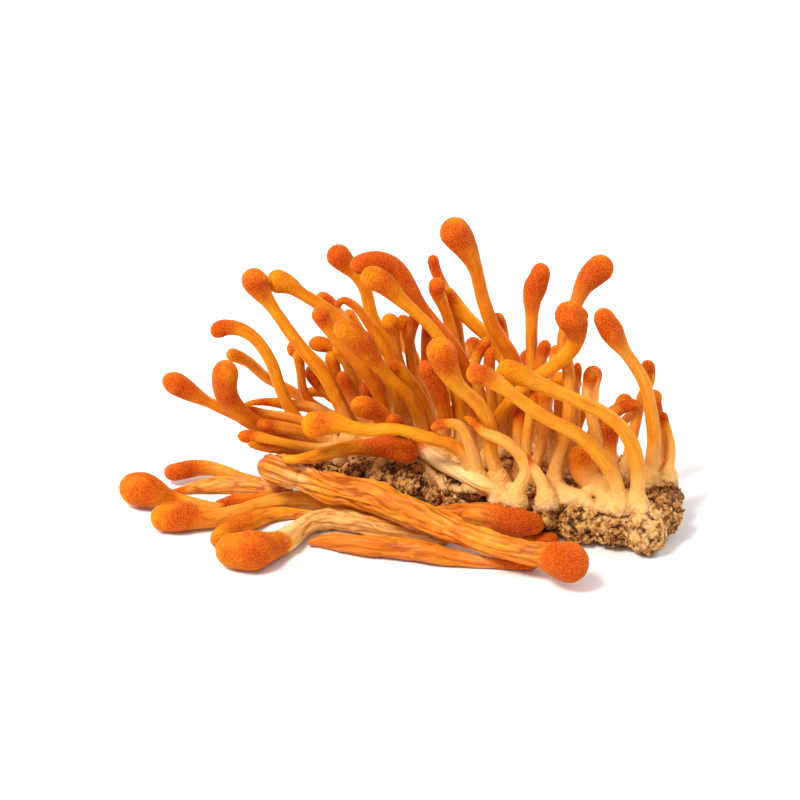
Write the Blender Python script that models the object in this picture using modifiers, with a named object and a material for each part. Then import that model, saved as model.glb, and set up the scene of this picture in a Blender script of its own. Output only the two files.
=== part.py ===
"""A bunch of fresh orange cordyceps: a tuft of club-shaped fruit bodies standing on its flat granular crust,
with a small heap of picked clubs lying against the front of it.

Each club is traced in a view from the front and above, the way the bunch is best known: points from the tip
to the foot, each with how far it is across and up in that view and the club's radius there, in millimetres.
How far back its tip stands, or how high it lies, turns the trace into a line in space, and crowding() then
makes room between neighbours along the sight lines only, so that the view of the bunch stays as traced.
"""

import math
import random

import bmesh
import bpy
import numpy as np

MM = 0.001

# Corners closer than this are one corner, in metres, and faces within this angle are one flat face
WELD, CRUST_WELD = 1e-6, 2e-5
FLAT_ENOUGH = math.radians(2)

# The traced view: leaned back this far, from an eye this far off, aimed this far above the view's zero point
VIEW_TILT = math.radians(25)
EYE_OFF = 600.0
AIM_UP = 20.0
ACROSS = np.array([1.0, 0.0, 0.0])
UPWARD = np.array([0.0, math.sin(VIEW_TILT), math.cos(VIEW_TILT)])
INWARD = np.array([0.0, math.cos(VIEW_TILT), -math.sin(VIEW_TILT)])
EYE = AIM_UP * UPWARD - EYE_OFF * INWARD

# The crust that the tuft grew from, in mm: its outline, how low and high the slab inside its skin goes, and
# the lumps of its rim, those in front given as x, y, z, radius
CRUST_TOP = 9.0
CRUST_OUTLINE = [(-18, 5), (-4, -0.5), (3, -3.4), (8, -6.6), (14, -9), (20, -11.2), (28, -15), (38, -18),
                 (47, -21.5), (50.5, -17.5), (51.3, -9), (44.5, 2), (31, 11.5), (17, 17.5), (3, 23),
                 (-8, 27), (-15.5, 21.5), (-19, 13)]
SLAB_BOTTOM, SLAB_TOP = -2.0, 8.5
CRUST_VOXEL = 2.7
RIM_LUMP_EVERY, RIM_LUMP_SHIFT = 5.0, 0.2
RIM_LUMP_HEIGHTS, RIM_LUMP_RADII = (4.2, 5.2), (3.2, 4.2)
RIM_SEED = 11
FRONT_LUMPS = [(47.3, -21.8, 3.9, 4.2), (41.0, -20.0, 4.0, 3.7), (35.0, -17.6, 4.2, 4.3),
               (30.0, -14.6, 4.6, 4.2), (50.2, -9.5, 5.0, 4.8), (50.4, -16.0, 4.6, 4.4),
               (24.5, -11.2, 4.4, 4.2)]

# The finishes: colour and roughness
ORANGE_CLUB = ((0.80, 0.26, 0.03), 0.6)
PALE_STEM = ((0.86, 0.52, 0.16), 0.6)
GRAIN_CRUST = ((0.24, 0.14, 0.07), 0.9)

# The trace's zero point in the part's own frame, whose origin is under the middle of the bunch
ZERO_POINT = (0.5, 2.6, 0.0)

# Standing clubs end just above the crust, and a clump's clubs in a low pad, a cone with this many sides
FOOT_TOP = CRUST_TOP + 0.3
FOOT_RISE = 0.75
PAD_RADIUS, PAD_EDGE, PAD_HEIGHT = 2.5, 1.1, 1.9
PAD_SIDES, PAD_TAPER = 10, 0.62

# How a standing club's lean grows from its foot, the least height at which a lying club's middle rests, and
# how much of that its tip keeps
LEAN_POWER = 1.25
LEAST_LIE = 0.9
TIP_DROOP = 0.85

# A club at the back: shares of the way from foot to tip, each with the radius there in heads, and the powers
# of its bend and its rise
BACK_PROFILE = [(1, 0), (0.92, 1), (0.8, 0.75), (0.66, 0.55), (0.4, 0.55), (0.18, 0.55), (0, 0.55)]
BACK_BEND, BACK_RISE = 1.7, 1.35

# A line's fine step before it is spaced evenly, the least share of the radius that counts at a tip, and the
# places of the rings that round off a head, as shares of the length that does
FINE_STEP = 0.25
LEAST_TIP = 0.3
TIP_RINGS = (0.07, 0.45)

# Steps between a club's rings of corners, and how far its round section is divided
CLUB_PITCH, CLUMP_PITCH = 7.0, 8.5
STANDING_SIDES, LYING_SIDES = 1, 2

# Crowding: clear space between clubs, the spacing of the stations that it moves, and its rounds
CLEAR = 0.5
STATION = 2.5
ROUNDS, LAST_ROUNDS = 160, 128
STIFF_FOOT = 7.0
KIN_REACH = 11.0
NEAR = 2.5
GROUND_CLEAR, CRUST_CLEAR = 0.1, 0.4

# How freely a lying club moves, how a standing one's freedom grows from its foot, and how far moves even out
LYING_FREE = 0.7
FREE_POWER = 0.8
LEAST_FREE, LEAST_COUNT = 0.02, 0.6
EASE, LAST_EASE = 0.28, 0.1

# Standing clubs: node, how far back the tip stands, and the trace (across, up, radius) from tip to foot
STANDING = [
    ("club_long_left", 11, [(-29.2, 46.3, 0), (-29, 43.7, 2.6), (-27.5, 41.3, 1.9), (-26.2, 39.5, 1.4),
        (-22, 33.5, 1.3), (-18.5, 29, 1.3), (-15.5, 25.3, 1.35), (-13, 21, 1.4), (-11.2, 17, 1.4),
        (-10, 13, 1.4)]),
    ("club_yellow_left", 14, [(-26.7, 44, 0), (-24.3, 43.7, 2.4), (-21.5, 42.6, 1.7), (-20, 41.5, 1.3),
        (-17.5, 40, 1.25), (-13, 37, 1.25), (-8, 32, 1.3), (-4, 27, 1.3), (-1, 21.5, 1.3),
        (0.8, 15, 1.3)]),
    ("club_hooked_left", 8, [(-37.6, 33, 0), (-36, 34.2, 1.7), (-32, 34.2, 1.4), (-29.5, 32.7, 1.25),
        (-26, 28, 1.2), (-24, 22.5, 1.2), (-21.5, 17.5, 1.25), (-18, 13.6, 1.25), (-14.7, 12.2, 1.25)]),
    ("club_curved_left", -6, [(-34.2, 27.4, 0), (-35, 25, 2.6), (-35, 22.3, 2.4), (-34.2, 20, 2.2),
        (-32.5, 18, 1.9), (-30, 15.9, 1.7), (-27, 14.3, 1.6), (-24, 12.7, 1.45), (-20.5, 11.1, 1.4),
        (-17.4, 10, 1.4)]),
    ("club_far_left", 5, [(-47.4, 24.4, 0), (-44.5, 23.1, 2.3), (-41.5, 21.3, 1.8), (-39.5, 20.2, 1.3),
        (-35, 18, 1.15), (-31, 16.2, 1.1), (-26, 14.6, 1.15), (-21.5, 13.5, 1.2), (-17.7, 13, 1.2)]),
    ("club_high_left", 18, [(-13.8, 50.5, 0), (-12.3, 48.8, 2.4), (-10.5, 47, 2), (-8.5, 45, 1.5),
        (-7.3, 43, 1.35), (-5.6, 37, 1.3), (-2.5, 31, 1.3), (0.5, 24.5, 1.3), (3, 16.5, 1.35)]),
    ("club_arched", 7, [(-9.5, 46, 0), (-8.3, 47, 1.8), (-6.5, 47.6, 2), (-4, 47.6, 2.1), (-1.7, 46.8, 2),
        (0.5, 44.7, 1.8), (2.2, 41.8, 1.6), (3.9, 38.8, 1.5), (6.3, 35.8, 1.45), (10.3, 31.3, 1.4),
        (13.6, 25, 1.4), (15.2, 18, 1.4), (15.4, 12, 1.45)]),
    ("club_short_arched", 0, [(-7.9, 44.6, 0), (-5, 44.3, 2.4), (-2.5, 42.7, 2.1), (0, 40.2, 1.5),
        (3, 37.6, 1.15), (6, 34.7, 1.15), (8.7, 31, 1.2), (10.6, 25, 1.25), (11.8, 17, 1.3),
        (12.2, 10, 1.35)]),
    ("club_oval_head", -5, [(-12.9, 34.9, 0), (-11, 34.1, 2.2), (-8, 31.6, 2.4), (-5.8, 28.8, 1.9),
        (-4, 26.5, 1.4), (-2, 24.3, 1.25), (2, 20.3, 1.25), (3.8, 16.5, 1.3), (4.6, 11, 1.35)]),
    ("club_thin_hooked", 9, [(-12.8, 38.7, 0), (-13, 39.3, 0.7), (-12, 39.9, 0.75), (-10, 39.5, 0.85),
        (-8.5, 38.3, 0.9), (-7, 36.5, 1), (-4, 31.5, 1.15), (-1.5, 27.5, 1.2), (0, 20, 1.2),
        (-0.9, 13.5, 1.25)]),
    ("club_under_oval", 3, [(-16.8, 38.3, 0), (-16, 37, 1.7), (-14.5, 34.8, 1.5), (-10.5, 30, 1.4),
        (-7.5, 26.5, 1.5), (-5, 22.5, 1.3), (-3.2, 18, 1.2), (-1.8, 11.5, 1.25)]),
    ("club_tallest", 8, [(9, 55.7, 0), (11, 53.5, 3), (12.8, 51, 2.6), (14, 48.8, 1.9), (15, 46.5, 1.5),
        (16.5, 40.5, 1.4), (18.7, 34.5, 1.45), (22.3, 28.8, 1.45), (24.6, 22, 1.4), (25, 12.4, 1.45)]),
    ("club_slim_middle", 17, [(6.4, 49, 0), (6.6, 47.8, 1.15), (7.5, 45, 1.1), (8.8, 42.5, 1.15),
        (10, 40, 1.2), (11.8, 31, 1.3), (12.6, 24, 1.3), (12.8, 15, 1.3)]),
    ("club_dark_middle", 9, [(7.5, 44.4, 0), (7.3, 42.8, 1.7), (8, 40.5, 1.4), (9, 38, 1.1),
        (10.3, 33.5, 1.1), (11.4, 26, 1.2), (11.4, 18, 1.2), (11, 13.4, 1.25)]),
    ("club_yellow_middle", 13, [(8.2, 42.4, 0), (9.5, 41, 1.6), (14, 36, 1.4), (16.5, 33.7, 1.35),
        (19, 31.3, 1.3), (21.4, 26, 1.3), (22.3, 19, 1.3), (21.5, 13.4, 1.35)]),
    ("club_upright_right", 9, [(28.2, 47.4, 0), (28, 45, 2), (27, 42.3, 2.3), (26.5, 40, 1.9),
        (26.4, 37.5, 1.4), (26.3, 32, 1.25), (26.6, 24, 1.2), (27.6, 16, 1.25), (29.3, 11, 1.3)]),
    ("club_ball_head", -10, [(35, 38.9, 0), (34.3, 36.6, 3.2), (35.3, 34.2, 2.2), (34.8, 31, 1.6),
        (31, 27, 1.4), (26, 23.5, 1.3), (22, 19.7, 1.2), (19, 15.5, 1.25), (17.6, 8.6, 1.3)]),
    ("club_high_right", 1, [(42.3, 47.8, 0), (40, 46.3, 2.7), (37.8, 44.2, 2.4), (36.3, 42, 1.7),
        (35.5, 40, 1.4), (34, 36.5, 1.3), (32.6, 31.5, 1.25), (33.6, 26.5, 1.25), (33.8, 18, 1.25),
        (32.6, 11, 1.3), (31, 5.5, 1.4), (30.8, 3.6, 1.45)]),
    ("club_outer_right", -8, [(40.1, 38.2, 0), (41, 36, 2.1), (42.3, 33.8, 2.3), (43.5, 31.8, 1.9),
        (44.5, 30.3, 1.4), (46, 28.3, 1.25), (48.8, 23.5, 1.25), (50.2, 17.5, 1.3), (50.8, 11.5, 1.4),
        (49.9, 5, 1.4)]),
    ("club_long_front", -18, [(19.2, 25.9, 0), (21.5, 25.6, 2.4), (24, 25, 2.1), (26, 24, 1.7),
        (28.5, 22.9, 1.5), (34, 20.5, 1.35), (40, 17.8, 1.35), (44.7, 14, 1.4), (47.1, 9, 1.45),
        (47.6, 4, 1.4), (47.3, 0.4, 1.4)]),
    ("club_front_below", -20, [(13.2, 25.1, 0), (15.3, 25.2, 2), (17.5, 24.4, 1.9), (20, 23, 1.5),
        (22, 21.5, 1.3), (27, 17.8, 1.3), (30, 16, 1.3), (36, 12.7, 1.35), (40.5, 8, 1.4),
        (43.2, 3.6, 1.4), (43.8, 0, 1.4)]),
    ("club_front_centre", -14, [(8.2, 32.1, 0), (8.3, 29.5, 2.9), (9.2, 27, 2.5), (10.3, 24.8, 1.9),
        (11.8, 22.7, 1.5), (15.5, 19.3, 1.4), (17.9, 15, 1.35), (18.3, 9, 1.35), (19.8, 4.6, 1.4)]),
    ("club_thick_dark", -3, [(4.7, 27.6, 0), (5.3, 26, 1.6), (6.5, 24, 1.8), (7.8, 21.5, 1.7),
        (8.8, 18, 1.5), (8.6, 10, 1.4)]),
    ("club_inner_bent", 0, [(-2.7, 26.6, 0), (-1.5, 26.8, 1.3), (1, 24.7, 1.4), (3, 22, 1.3),
        (5.7, 16.5, 1.3), (7.4, 12.2, 1.3)]),
    ("club_dry_pointed", 5, [(-31.2, 19.2, 0), (-28, 19.6, 0.7), (-25, 19.5, 1), (-22, 19, 1.1),
        (-18, 18.5, 1.2), (-15.8, 17.2, 1.3), (-14.4, 14.4, 1.3)]),
    ("club_pale_slim", -3, [(35.5, 27.5, 0), (35.7, 26.3, 0.8), (35.3, 24, 0.8), (35.2, 18, 0.85),
        (34.8, 13, 0.95), (33.8, 9.6, 1.05), (33, 7.4, 1.1)]),
    ("club_bent_right", -5, [(38.4, 26.2, 0), (38.3, 24.8, 1.6), (37.6, 23, 1.2), (37.5, 21, 1.1),
        (38.5, 16, 1.15), (39.6, 10, 1.2), (40, 5.4, 1.25)]),
    ("club_pointing_right", -3, [(48.3, 18.9, 0), (46, 19, 1.3), (44, 18.3, 1.3), (40.5, 16, 1.2),
        (38, 12, 1.2), (37.4, 7.6, 1.25)]),
    ("club_dark_tip_right", 1, [(49.3, 28, 0), (49.5, 26.5, 1.5), (49.9, 24.3, 1.2), (48.4, 20.5, 1.1),
        (46.8, 14, 1.1), (45.4, 7.2, 1.15)]),
    ("clump_left_upper", 14, [(-34.7, 29.5, 0), (-33.3, 29, 1.4), (-31, 28, 1.2), (-27, 24.7, 1.1),
        (-21.5, 21.6, 1.1), (-16.6, 18.6, 1.1), (-12.9, 16.2, 1.2)]),
    ("clump_left_upper", 11, [(-20.6, 29.8, 0), (-20.3, 28.6, 1.1), (-19.9, 26, 0.95), (-19, 21, 1),
        (-15.6, 17.6, 1.05), (-11.6, 15.4, 1.1)]),
    ("clump_left_low", 2, [(-31.5, 18.3, 0), (-30, 18, 0.9), (-27, 17.2, 1), (-22, 16.4, 1.1),
        (-16, 14, 1.1), (-12, 10.8, 1.1)]),
    ("clump_left_low", -1, [(-28.6, 15.4, 0), (-27, 15, 1.3), (-23, 14.4, 1.2), (-18, 13.2, 1.15),
        (-12.6, 10.3, 1.15)]),
    ("clump_left_low", -4, [(-32.5, 12.8, 0), (-30.5, 12.7, 1.3), (-28, 12.5, 1.1), (-26, 12.1, 0.9),
        (-20, 10.8, 1), (-12.6, 9.9, 1.1)]),
    ("clump_left_low", -4, [(-30.4, 11.3, 0), (-28.6, 10.8, 0.8), (-26, 10.3, 0.9), (-23, 10.1, 0.95),
        (-18, 10, 1.05), (-12.7, 10, 1.1)]),
    ("clump_left_back", 15, [(-17.4, 27.1, 0), (-17.3, 25.2, 1.7), (-15.8, 22.7, 1.3), (-12, 19.3, 1.1),
        (-7.5, 16.2, 1.15)]),
    ("clump_left_back", 17, [(-18.3, 31.3, 0), (-16, 31.2, 1.6), (-13, 30.2, 1.3), (-9.2, 25, 1.1),
        (-6.6, 17, 1.15)]),
    ("clump_left_back", 17, [(-20, 21, 0), (-18.7, 21.4, 1), (-16, 21.7, 1.1), (-11.5, 19.6, 1.1),
        (-6.6, 15.8, 1.1)]),
    ("clump_left_inner", 9, [(-12.8, 30.9, 0), (-12.3, 29.9, 1.3), (-11, 28, 1.1), (-10, 25.5, 1),
        (-8.2, 19, 1.05), (-6, 13.8, 1.1)]),
    ("clump_left_inner", 12, [(-14.2, 29.6, 0), (-13.6, 28, 1.4), (-12.5, 24.5, 1.1), (-8.9, 19, 1.05),
        (-5.4, 14.4, 1.1)]),
    ("clump_left_inner", 8, [(-12, 25.6, 0), (-11.3, 24, 1.3), (-9.2, 19.5, 1.1), (-5.6, 13.2, 1.15)]),
    ("clump_left_inner", 6, [(-7.2, 23.4, 0), (-6.6, 22, 1.2), (-5.6, 19, 1.1), (-4.9, 13.6, 1.15)]),
    ("clump_low_knobs", -4, [(-9.8, 18.9, 0), (-7, 18.6, 2.2), (-4.5, 17.5, 1.9), (-2.5, 16.3, 1.4),
        (-0.9, 13, 1.2), (-0.6, 9.8, 1.25)]),
    ("clump_low_knobs", -5, [(-1.9, 16.6, 0), (-0.9, 15.3, 1.6), (0.6, 13.2, 1.2), (0.8, 9.4, 1.25)]),
    ("clump_middle_back", 19, [(-16.8, 40.9, 0), (-15.3, 40.1, 1.6), (-12, 37, 1.2), (-6, 29, 1.15),
        (-2, 17.4, 1.2)]),
    ("clump_middle_back", 17, [(-14.6, 37.3, 0), (-13.3, 36.3, 1.5), (-10.3, 33, 1.1), (-5.8, 26, 1.1),
        (-1.8, 18.2, 1.15)]),
    ("clump_middle_back", 20, [(-10.8, 38, 0), (-10, 36.8, 1.2), (-7.6, 33, 1.1), (-4.2, 26, 1.1),
        (-0.7, 17.7, 1.15)]),
    ("clump_middle", 9, [(-2.6, 37.1, 0), (-1.9, 35.4, 1.8), (-1.2, 33, 1.15), (0, 27, 1.1),
        (3.6, 20, 1.1), (6, 14, 1.2)]),
    ("clump_middle", 14, [(0.3, 37, 0), (0.8, 35.5, 1.4), (1.8, 31.5, 1.1), (4.3, 23, 1.1),
        (6.6, 14.9, 1.15)]),
    ("clump_middle", 12, [(3.3, 38, 0), (3, 36.6, 1.2), (2, 32, 1), (2.4, 26.5, 1), (5.2, 20, 1.1),
        (7, 14.3, 1.15)]),
    ("clump_middle", 15, [(5.9, 36, 0), (5.6, 34.4, 1.3), (5.2, 30.5, 1.1), (5.8, 23, 1.1),
        (7.6, 15.4, 1.15)]),
    ("clump_right_middle", 9, [(19.2, 37.4, 0), (19.8, 35.8, 1.3), (20.9, 32.5, 1), (20.6, 24, 1.05),
        (20, 12, 1.15)]),
    ("clump_right_middle", 3, [(17.6, 32.5, 0), (16.9, 31, 1.2), (15.3, 28.4, 1.1), (16.4, 20, 1.1),
        (19.3, 11.5, 1.15)]),
    ("clump_right_middle", 2, [(18.4, 30.6, 0), (17.9, 28.2, 1.2), (18, 24, 1.15), (19, 17, 1.1),
        (20.3, 11.2, 1.15)]),
    ("clump_right_back", 5, [(29.3, 32, 0), (28.9, 30.5, 1.3), (28.1, 27.6, 1.1), (29, 20, 1.1),
        (31.6, 9.6, 1.15)]),
    ("clump_right_back", 1, [(32.1, 25.6, 0), (32, 23.9, 1.5), (31.8, 21, 1.1), (31.8, 16, 1.1),
        (32.4, 9, 1.15)]),
    ("clump_right_back", 0, [(37, 19.4, 0), (36.5, 18, 1.1), (35.6, 15, 1), (33.6, 9, 1.1)]),
    ("clump_right_inner", -7, [(29.3, 23.8, 0), (29, 21.6, 1.4), (28.9, 18, 1.1), (28.3, 11, 1.05),
        (26.4, 5.2, 1.2)]),
    ("clump_right_inner", -4, [(27.4, 22.8, 0), (27, 21.3, 1.2), (26, 16, 1.1), (25.2, 10, 1.1),
        (25.4, 5.8, 1.15)]),
    ("clump_right_inner", -1, [(24.6, 19.2, 0), (24.2, 17.5, 1.3), (23.6, 13.5, 1.15), (24.4, 6.4, 1.2)]),
    ("clump_right_end", -3, [(51.2, 21.2, 0), (51.5, 19.6, 0.8), (52.1, 15, 0.85), (52.9, 10, 0.95),
        (53.1, 6.8, 1)]),
    ("clump_right_end", -5, [(52.5, 17.6, 0), (52.7, 16.6, 0.85), (53.9, 12.5, 0.85), (54.2, 9, 0.95),
        (53.4, 5.6, 1)]),
    ("clump_stubs_right", -12, [(41, 15.4, 0), (42, 13.5, 1.6), (42, 10.5, 1.3), (42.3, 7, 1.2),
        (42.6, 2.9, 1.25)]),
    ("clump_stubs_right", -11, [(35.8, 11, 0), (36, 9, 2.2), (36.6, 6.5, 2.7), (38, 4, 2.2),
        (40.4, 2.6, 1.4)]),
    ("clump_forked_foot", -10, [(12.9, 16.7, 0), (14.5, 15.7, 0.75), (16.2, 13.9, 0.9),
        (19.8, 12.3, 1.15), (22, 11, 1.2), (24, 9, 1.25), (25.3, 6, 1.3), (24, 3, 1.3),
        (23.2, 1.2, 1.3)]),
    ("clump_forked_foot", -15.2, [(24, 9.4, 0), (24.9, 8.2, 1.2), (26, 6.8, 1.15), (27.8, 4.6, 1.15),
        (29.3, 1, 1.3)]),
    ("clump_pale_foot", -9, [(-19.7, 15, 0), (-17.5, 15, 2.6), (-15, 15.3, 2.3), (-12.5, 15.3, 1.9),
        (-10, 14.6, 1.4), (-7, 14, 1.3), (-1, 14.2, 1.15), (6, 12.3, 1.3), (10, 11.2, 1.3),
        (13, 8.8, 1.4), (14.9, 4.2, 1.5)]),
    ("clump_pale_foot", -11, [(6.2, 14.3, 0), (7.8, 15, 0.9), (9.5, 15.3, 1), (11.5, 15, 1),
        (12.9, 13.6, 1.1), (14.4, 9.8, 1.3), (15.8, 4, 1.5)]),
]

# These branch from a club of their own and not from a pad
BRANCHING = ("clump_forked_foot", "clump_pale_foot")

# The torn pale foot in front, from its upper end to where it is rooted: across, up, radius and height
PALE_FOOT = [(1.6, 11.3, 0, 11), (3.2, 10.5, 1.3, 11), (5, 9.5, 1.5, 11), (8, 7.6, 1.5, 11),
             (11.5, 5.7, 1.5, 10.9), (15, 4, 1.5, 10.8), (18.2, 2.4, 1.4, 9.9), (20, 1.4, 1.1, 9)]

# Clubs at the back, which the traced view hides: node, foot (x, y), tip (x, y, z) and the head's radius
BACK = [
    ("clump_back_left", (-10.6, 22.4), (-23, 29, 21), 2.0),
    ("clump_back_left", (-9.2, 23.8), (-14, 35, 20), 1.8),
    ("clump_back_left", (-8.6, 22.3), (-6, 34, 15), 1.6),
    ("clump_back_middle", (6.4, 19.5), (-2, 32, 24), 2.2),
    ("clump_back_middle", (7.8, 20.5), (6, 33, 18), 1.9),
    ("clump_back_middle", (9, 18.8), (16, 29, 22), 1.8),
    ("clump_back_middle", (7.4, 18.3), (13, 32, 14), 1.5),
    ("clump_back_right", (28.4, 9.2), (19, 22, 24), 2.0),
    ("clump_back_right", (29.8, 10.3), (26, 27, 20), 2.1),
    ("clump_back_right", (31, 8.9), (36, 21, 17), 1.7),
    ("clump_back_right", (29.4, 8.3), (32, 19, 25), 1.6),
    ("clump_back_end", (38.6, 3.5), (39, 17, 21), 1.9),
    ("clump_back_end", (40.4, 3.2), (46, 14, 16), 1.8),
    ("clump_back_end", (41.6, 1.8), (52, 7, 20), 1.7),
]

# Lying clubs: node, how high above the ground the tip and the foot end lie, and the trace from tip to foot
LYING = [
    ("lying_outer_left", 0, 0, [(-56, 2, 0), (-53, 2.2, 3.3), (-50.5, 1.9, 3.4), (-48, 1, 2.5),
        (-45.5, 0.3, 1.5), (-43, -0.1, 1.1), (-40, -0.8, 1), (-35, -1.8, 1)]),
    ("lying_back_left", 1, 0, [(-47.1, 5.5, 0), (-45, 5.6, 1.8), (-42, 6.2, 1.8), (-39, 6.5, 1.6),
        (-36, 5.9, 1.4), (-33.5, 5, 1.3), (-31, 4.3, 1.1), (-27.5, 3.6, 0.9)]),
    ("lying_grooved", 0, 1.2, [(-46.5, 1.3, 0), (-45, 1.6, 0.6), (-42, 2.3, 1), (-39, 2.8, 1.4),
        (-36, 3.1, 1.6), (-30, 2.7, 1.6), (-21.5, 1.8, 1.5)]),
    ("lying_middle_left", 0, 0, [(-49.8, -3.9, 0), (-47.5, -3.6, 2.6), (-45, -3.3, 3), (-42, -3.3, 2.7),
        (-39, -3.6, 2.1), (-36, -3.4, 1.8), (-33, -2.7, 1.6), (-27, -0.9, 1.6), (-21, 0.1, 1.7),
        (-15, -0.6, 1.6), (-10, -2, 1.5), (-5, -3.4, 1.4), (-1, -4.4, 1.2)]),
    ("lying_dark_red", 0, 0, [(-37.5, -1.2, 0), (-35.5, -0.7, 1), (-33, 0, 1.2), (-29, 0.3, 1),
        (-23.5, 0.6, 0.9)]),
    ("lying_second_front", 0, 0, [(-37.2, -8.8, 0), (-35.5, -7.2, 2), (-33, -5.6, 2), (-30, -4.3, 1.8),
        (-27, -3.2, 1.5), (-24, -2.7, 1.3), (-20, -2.8, 1), (-15.5, -3.4, 1)]),
    ("lying_front_big_head", 0, 0, [(-36.4, -9.7, 0), (-33, -10.1, 3.4), (-30, -10.1, 3.9),
        (-27, -9.5, 3.1), (-24, -8.6, 2.4), (-22, -7.4, 2.2), (-20, -6, 2), (-17.5, -4.4, 2),
        (-14.5, -3.8, 2.1), (-7, -5, 2), (-3, -5.7, 1.8), (1, -6.3, 1.4), (10, -7.8, 1.3)]),
    ("lying_long_top", 0, 6.5, [(37.5, -12.8, 0), (33.6, -12.4, 3.9), (31.2, -11.8, 3.3),
        (28.8, -11.2, 2.6), (25, -10.4, 2.3), (20, -9.3, 2.2), (12, -6.5, 2.3), (6, -4, 2.7),
        (0, -1.5, 2.9), (-6, 0.7, 3), (-10, 1.7, 2.8), (-14, 2.5, 2.7), (-18, 3.9, 2.5), (-21, 4.8, 2.4),
        (-23.4, 5.7, 3.1), (-25.3, 6.3, 2.9), (-27, 6.9, 1.7)]),
    ("lying_on_crust", 9.2, 10.5, [(3.4, 8.6, 0), (0.2, 10, 2.4), (-3, 10.7, 2.3), (-6, 10.5, 1.8),
        (-9, 10.5, 1.5), (-13, 9.7, 1.4), (-17, 8.8, 1.2), (-20.5, 8.1, 1), (-23.5, 8.3, 0.9)]),
    ("lying_flat_pointed", 1.6, 1.6, [(28.5, -4.7, 0), (26.5, -4.7, 2.2), (24, -4.5, 2.8),
        (20, -3.7, 2.8), (16, -3, 2.4), (12, -2.5, 1.8), (8, -2.3, 1.2), (5, -2.2, 0.8)]),
    ("lying_small_behind", 0, 0, [(31.6, -7.8, 0), (29.5, -8, 1.5), (26.5, -7.8, 1.1), (19, -6.6, 0.9)]),
    ("lying_lowest", 0, 0, [(28, -12.9, 0), (24, -12.5, 1.5), (20, -12.6, 1.1), (14, -12, 1.3),
        (6, -10.6, 2), (1, -9.8, 2), (-4, -9.4, 2), (-9, -8.8, 1.9), (-14, -8.2, 1.5), (-17, -8.3, 0.9),
        (-18.5, -8.5, 0.5)]),
]


def on_sight_line(across, up, back=None, height=None):
    """The point of space that the view shows at (across, up), given how far back or how high it is."""
    sight = across * ACROSS + (up - AIM_UP) * UPWARD + EYE_OFF * INWARD
    reach = (back - EYE[1]) / sight[1] if height is None else (height - EYE[2]) / sight[2]
    return EYE + reach * sight


def standing_line(tip_back, trace):
    """Turn a standing club's trace into rows of x, y, z, radius: it leans more and more towards its tip."""
    seen = np.array([point[:2] for point in trace], float)
    steps = np.hypot(*np.diff(seen, axis=0).T)
    from_foot = np.clip(1 - np.concatenate([[0], np.cumsum(steps)]) / steps.sum(), 0, 1)
    foot = on_sight_line(*seen[-1], height=FOOT_TOP + FOOT_RISE)
    backs = foot[1] + (tip_back - foot[1]) * from_foot**LEAN_POWER
    rows = [on_sight_line(a, b, back=y) for (a, b), y in zip(seen, backs)]
    return np.column_stack([np.array(rows), [point[2] for point in trace]])


def lying_line(tip_lift, foot_lift, trace):
    """Turn a lying club's trace into rows of x, y, z, radius: it rests on the ground or so far above it."""
    across = np.array([point[0] for point in trace], float)
    from_tip = (across - across[0]) / (across[-1] - across[0])
    rows = []
    for (a, b, radius), share in zip(trace, from_tip):
        lift = tip_lift + (foot_lift - tip_lift) * share
        rows.append((*on_sight_line(a, b, height=max(radius, LEAST_LIE) + GROUND_CLEAR + lift), radius))
    rows[0] = (*on_sight_line(*trace[0][:2], height=rows[1][2] * TIP_DROOP), 0)
    return np.array(rows)


def back_line(foot, tip, head):
    """A hidden club at the back: it rises from its foot and bends towards its tip."""
    start, end = np.array([*foot, FOOT_TOP + FOOT_RISE]), np.array(tip, float)
    rows = []
    for share, heads in BACK_PROFILE:
        bend = np.array([share**BACK_BEND, share**BACK_BEND, 1 - (1 - share) ** BACK_RISE])
        rows.append((*(start + (end - start) * bend), heads * head))
    return np.array(rows)


def smooth_line(rows, spacing):
    """A smooth line through rows of x, y, z, radius, at even steps from tip to foot, with a round tip.

    Gives the points and their radii; the tip's own row has radius 0, and the head rounds off before it."""
    points, radii = rows[:, :3], rows[:, 3].copy()
    radii[0] = radii[1]
    values = np.column_stack([points, radii])
    steps = np.linalg.norm(np.diff(points, axis=0), axis=1)
    at = np.concatenate([[0], np.cumsum(steps)])
    slopes = np.diff(values, axis=0) / steps[:, None]
    inner = slopes[:-1] * steps[1:, None] + slopes[1:] * steps[:-1, None]
    inner /= (steps[1:] + steps[:-1])[:, None]
    tangents = np.vstack([slopes[0], inner, slopes[-1]])
    where = np.linspace(0, at[-1], max(int(at[-1] / FINE_STEP), 8))
    span = np.clip(np.searchsorted(at, where, "right") - 1, 0, len(steps) - 1)
    width = steps[span][:, None]
    t = (where - at[span])[:, None] / width
    fine = ((1 + 2 * t) * (1 - t) ** 2 * values[span] + t * (1 - t) ** 2 * width * tangents[span]
            + t * t * (3 - 2 * t) * values[span + 1] + t * t * (t - 1) * width * tangents[span + 1])
    run = np.concatenate([[0], np.cumsum(np.linalg.norm(np.diff(fine[:, :3], axis=0), axis=1))])
    even = np.linspace(0, run[-1], max(int(round(run[-1] / spacing)), 4) + 1)
    line = np.column_stack([np.interp(even, run, fine[:, k]) for k in range(4)])
    return line, even, steps[0]


def round_tip(distance, cap):
    """How much of the head's radius is left this close to the tip."""
    return np.sqrt(np.clip(1 - (1 - np.clip(distance / cap, 0, 1)) ** 2, 0, 1))


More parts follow.
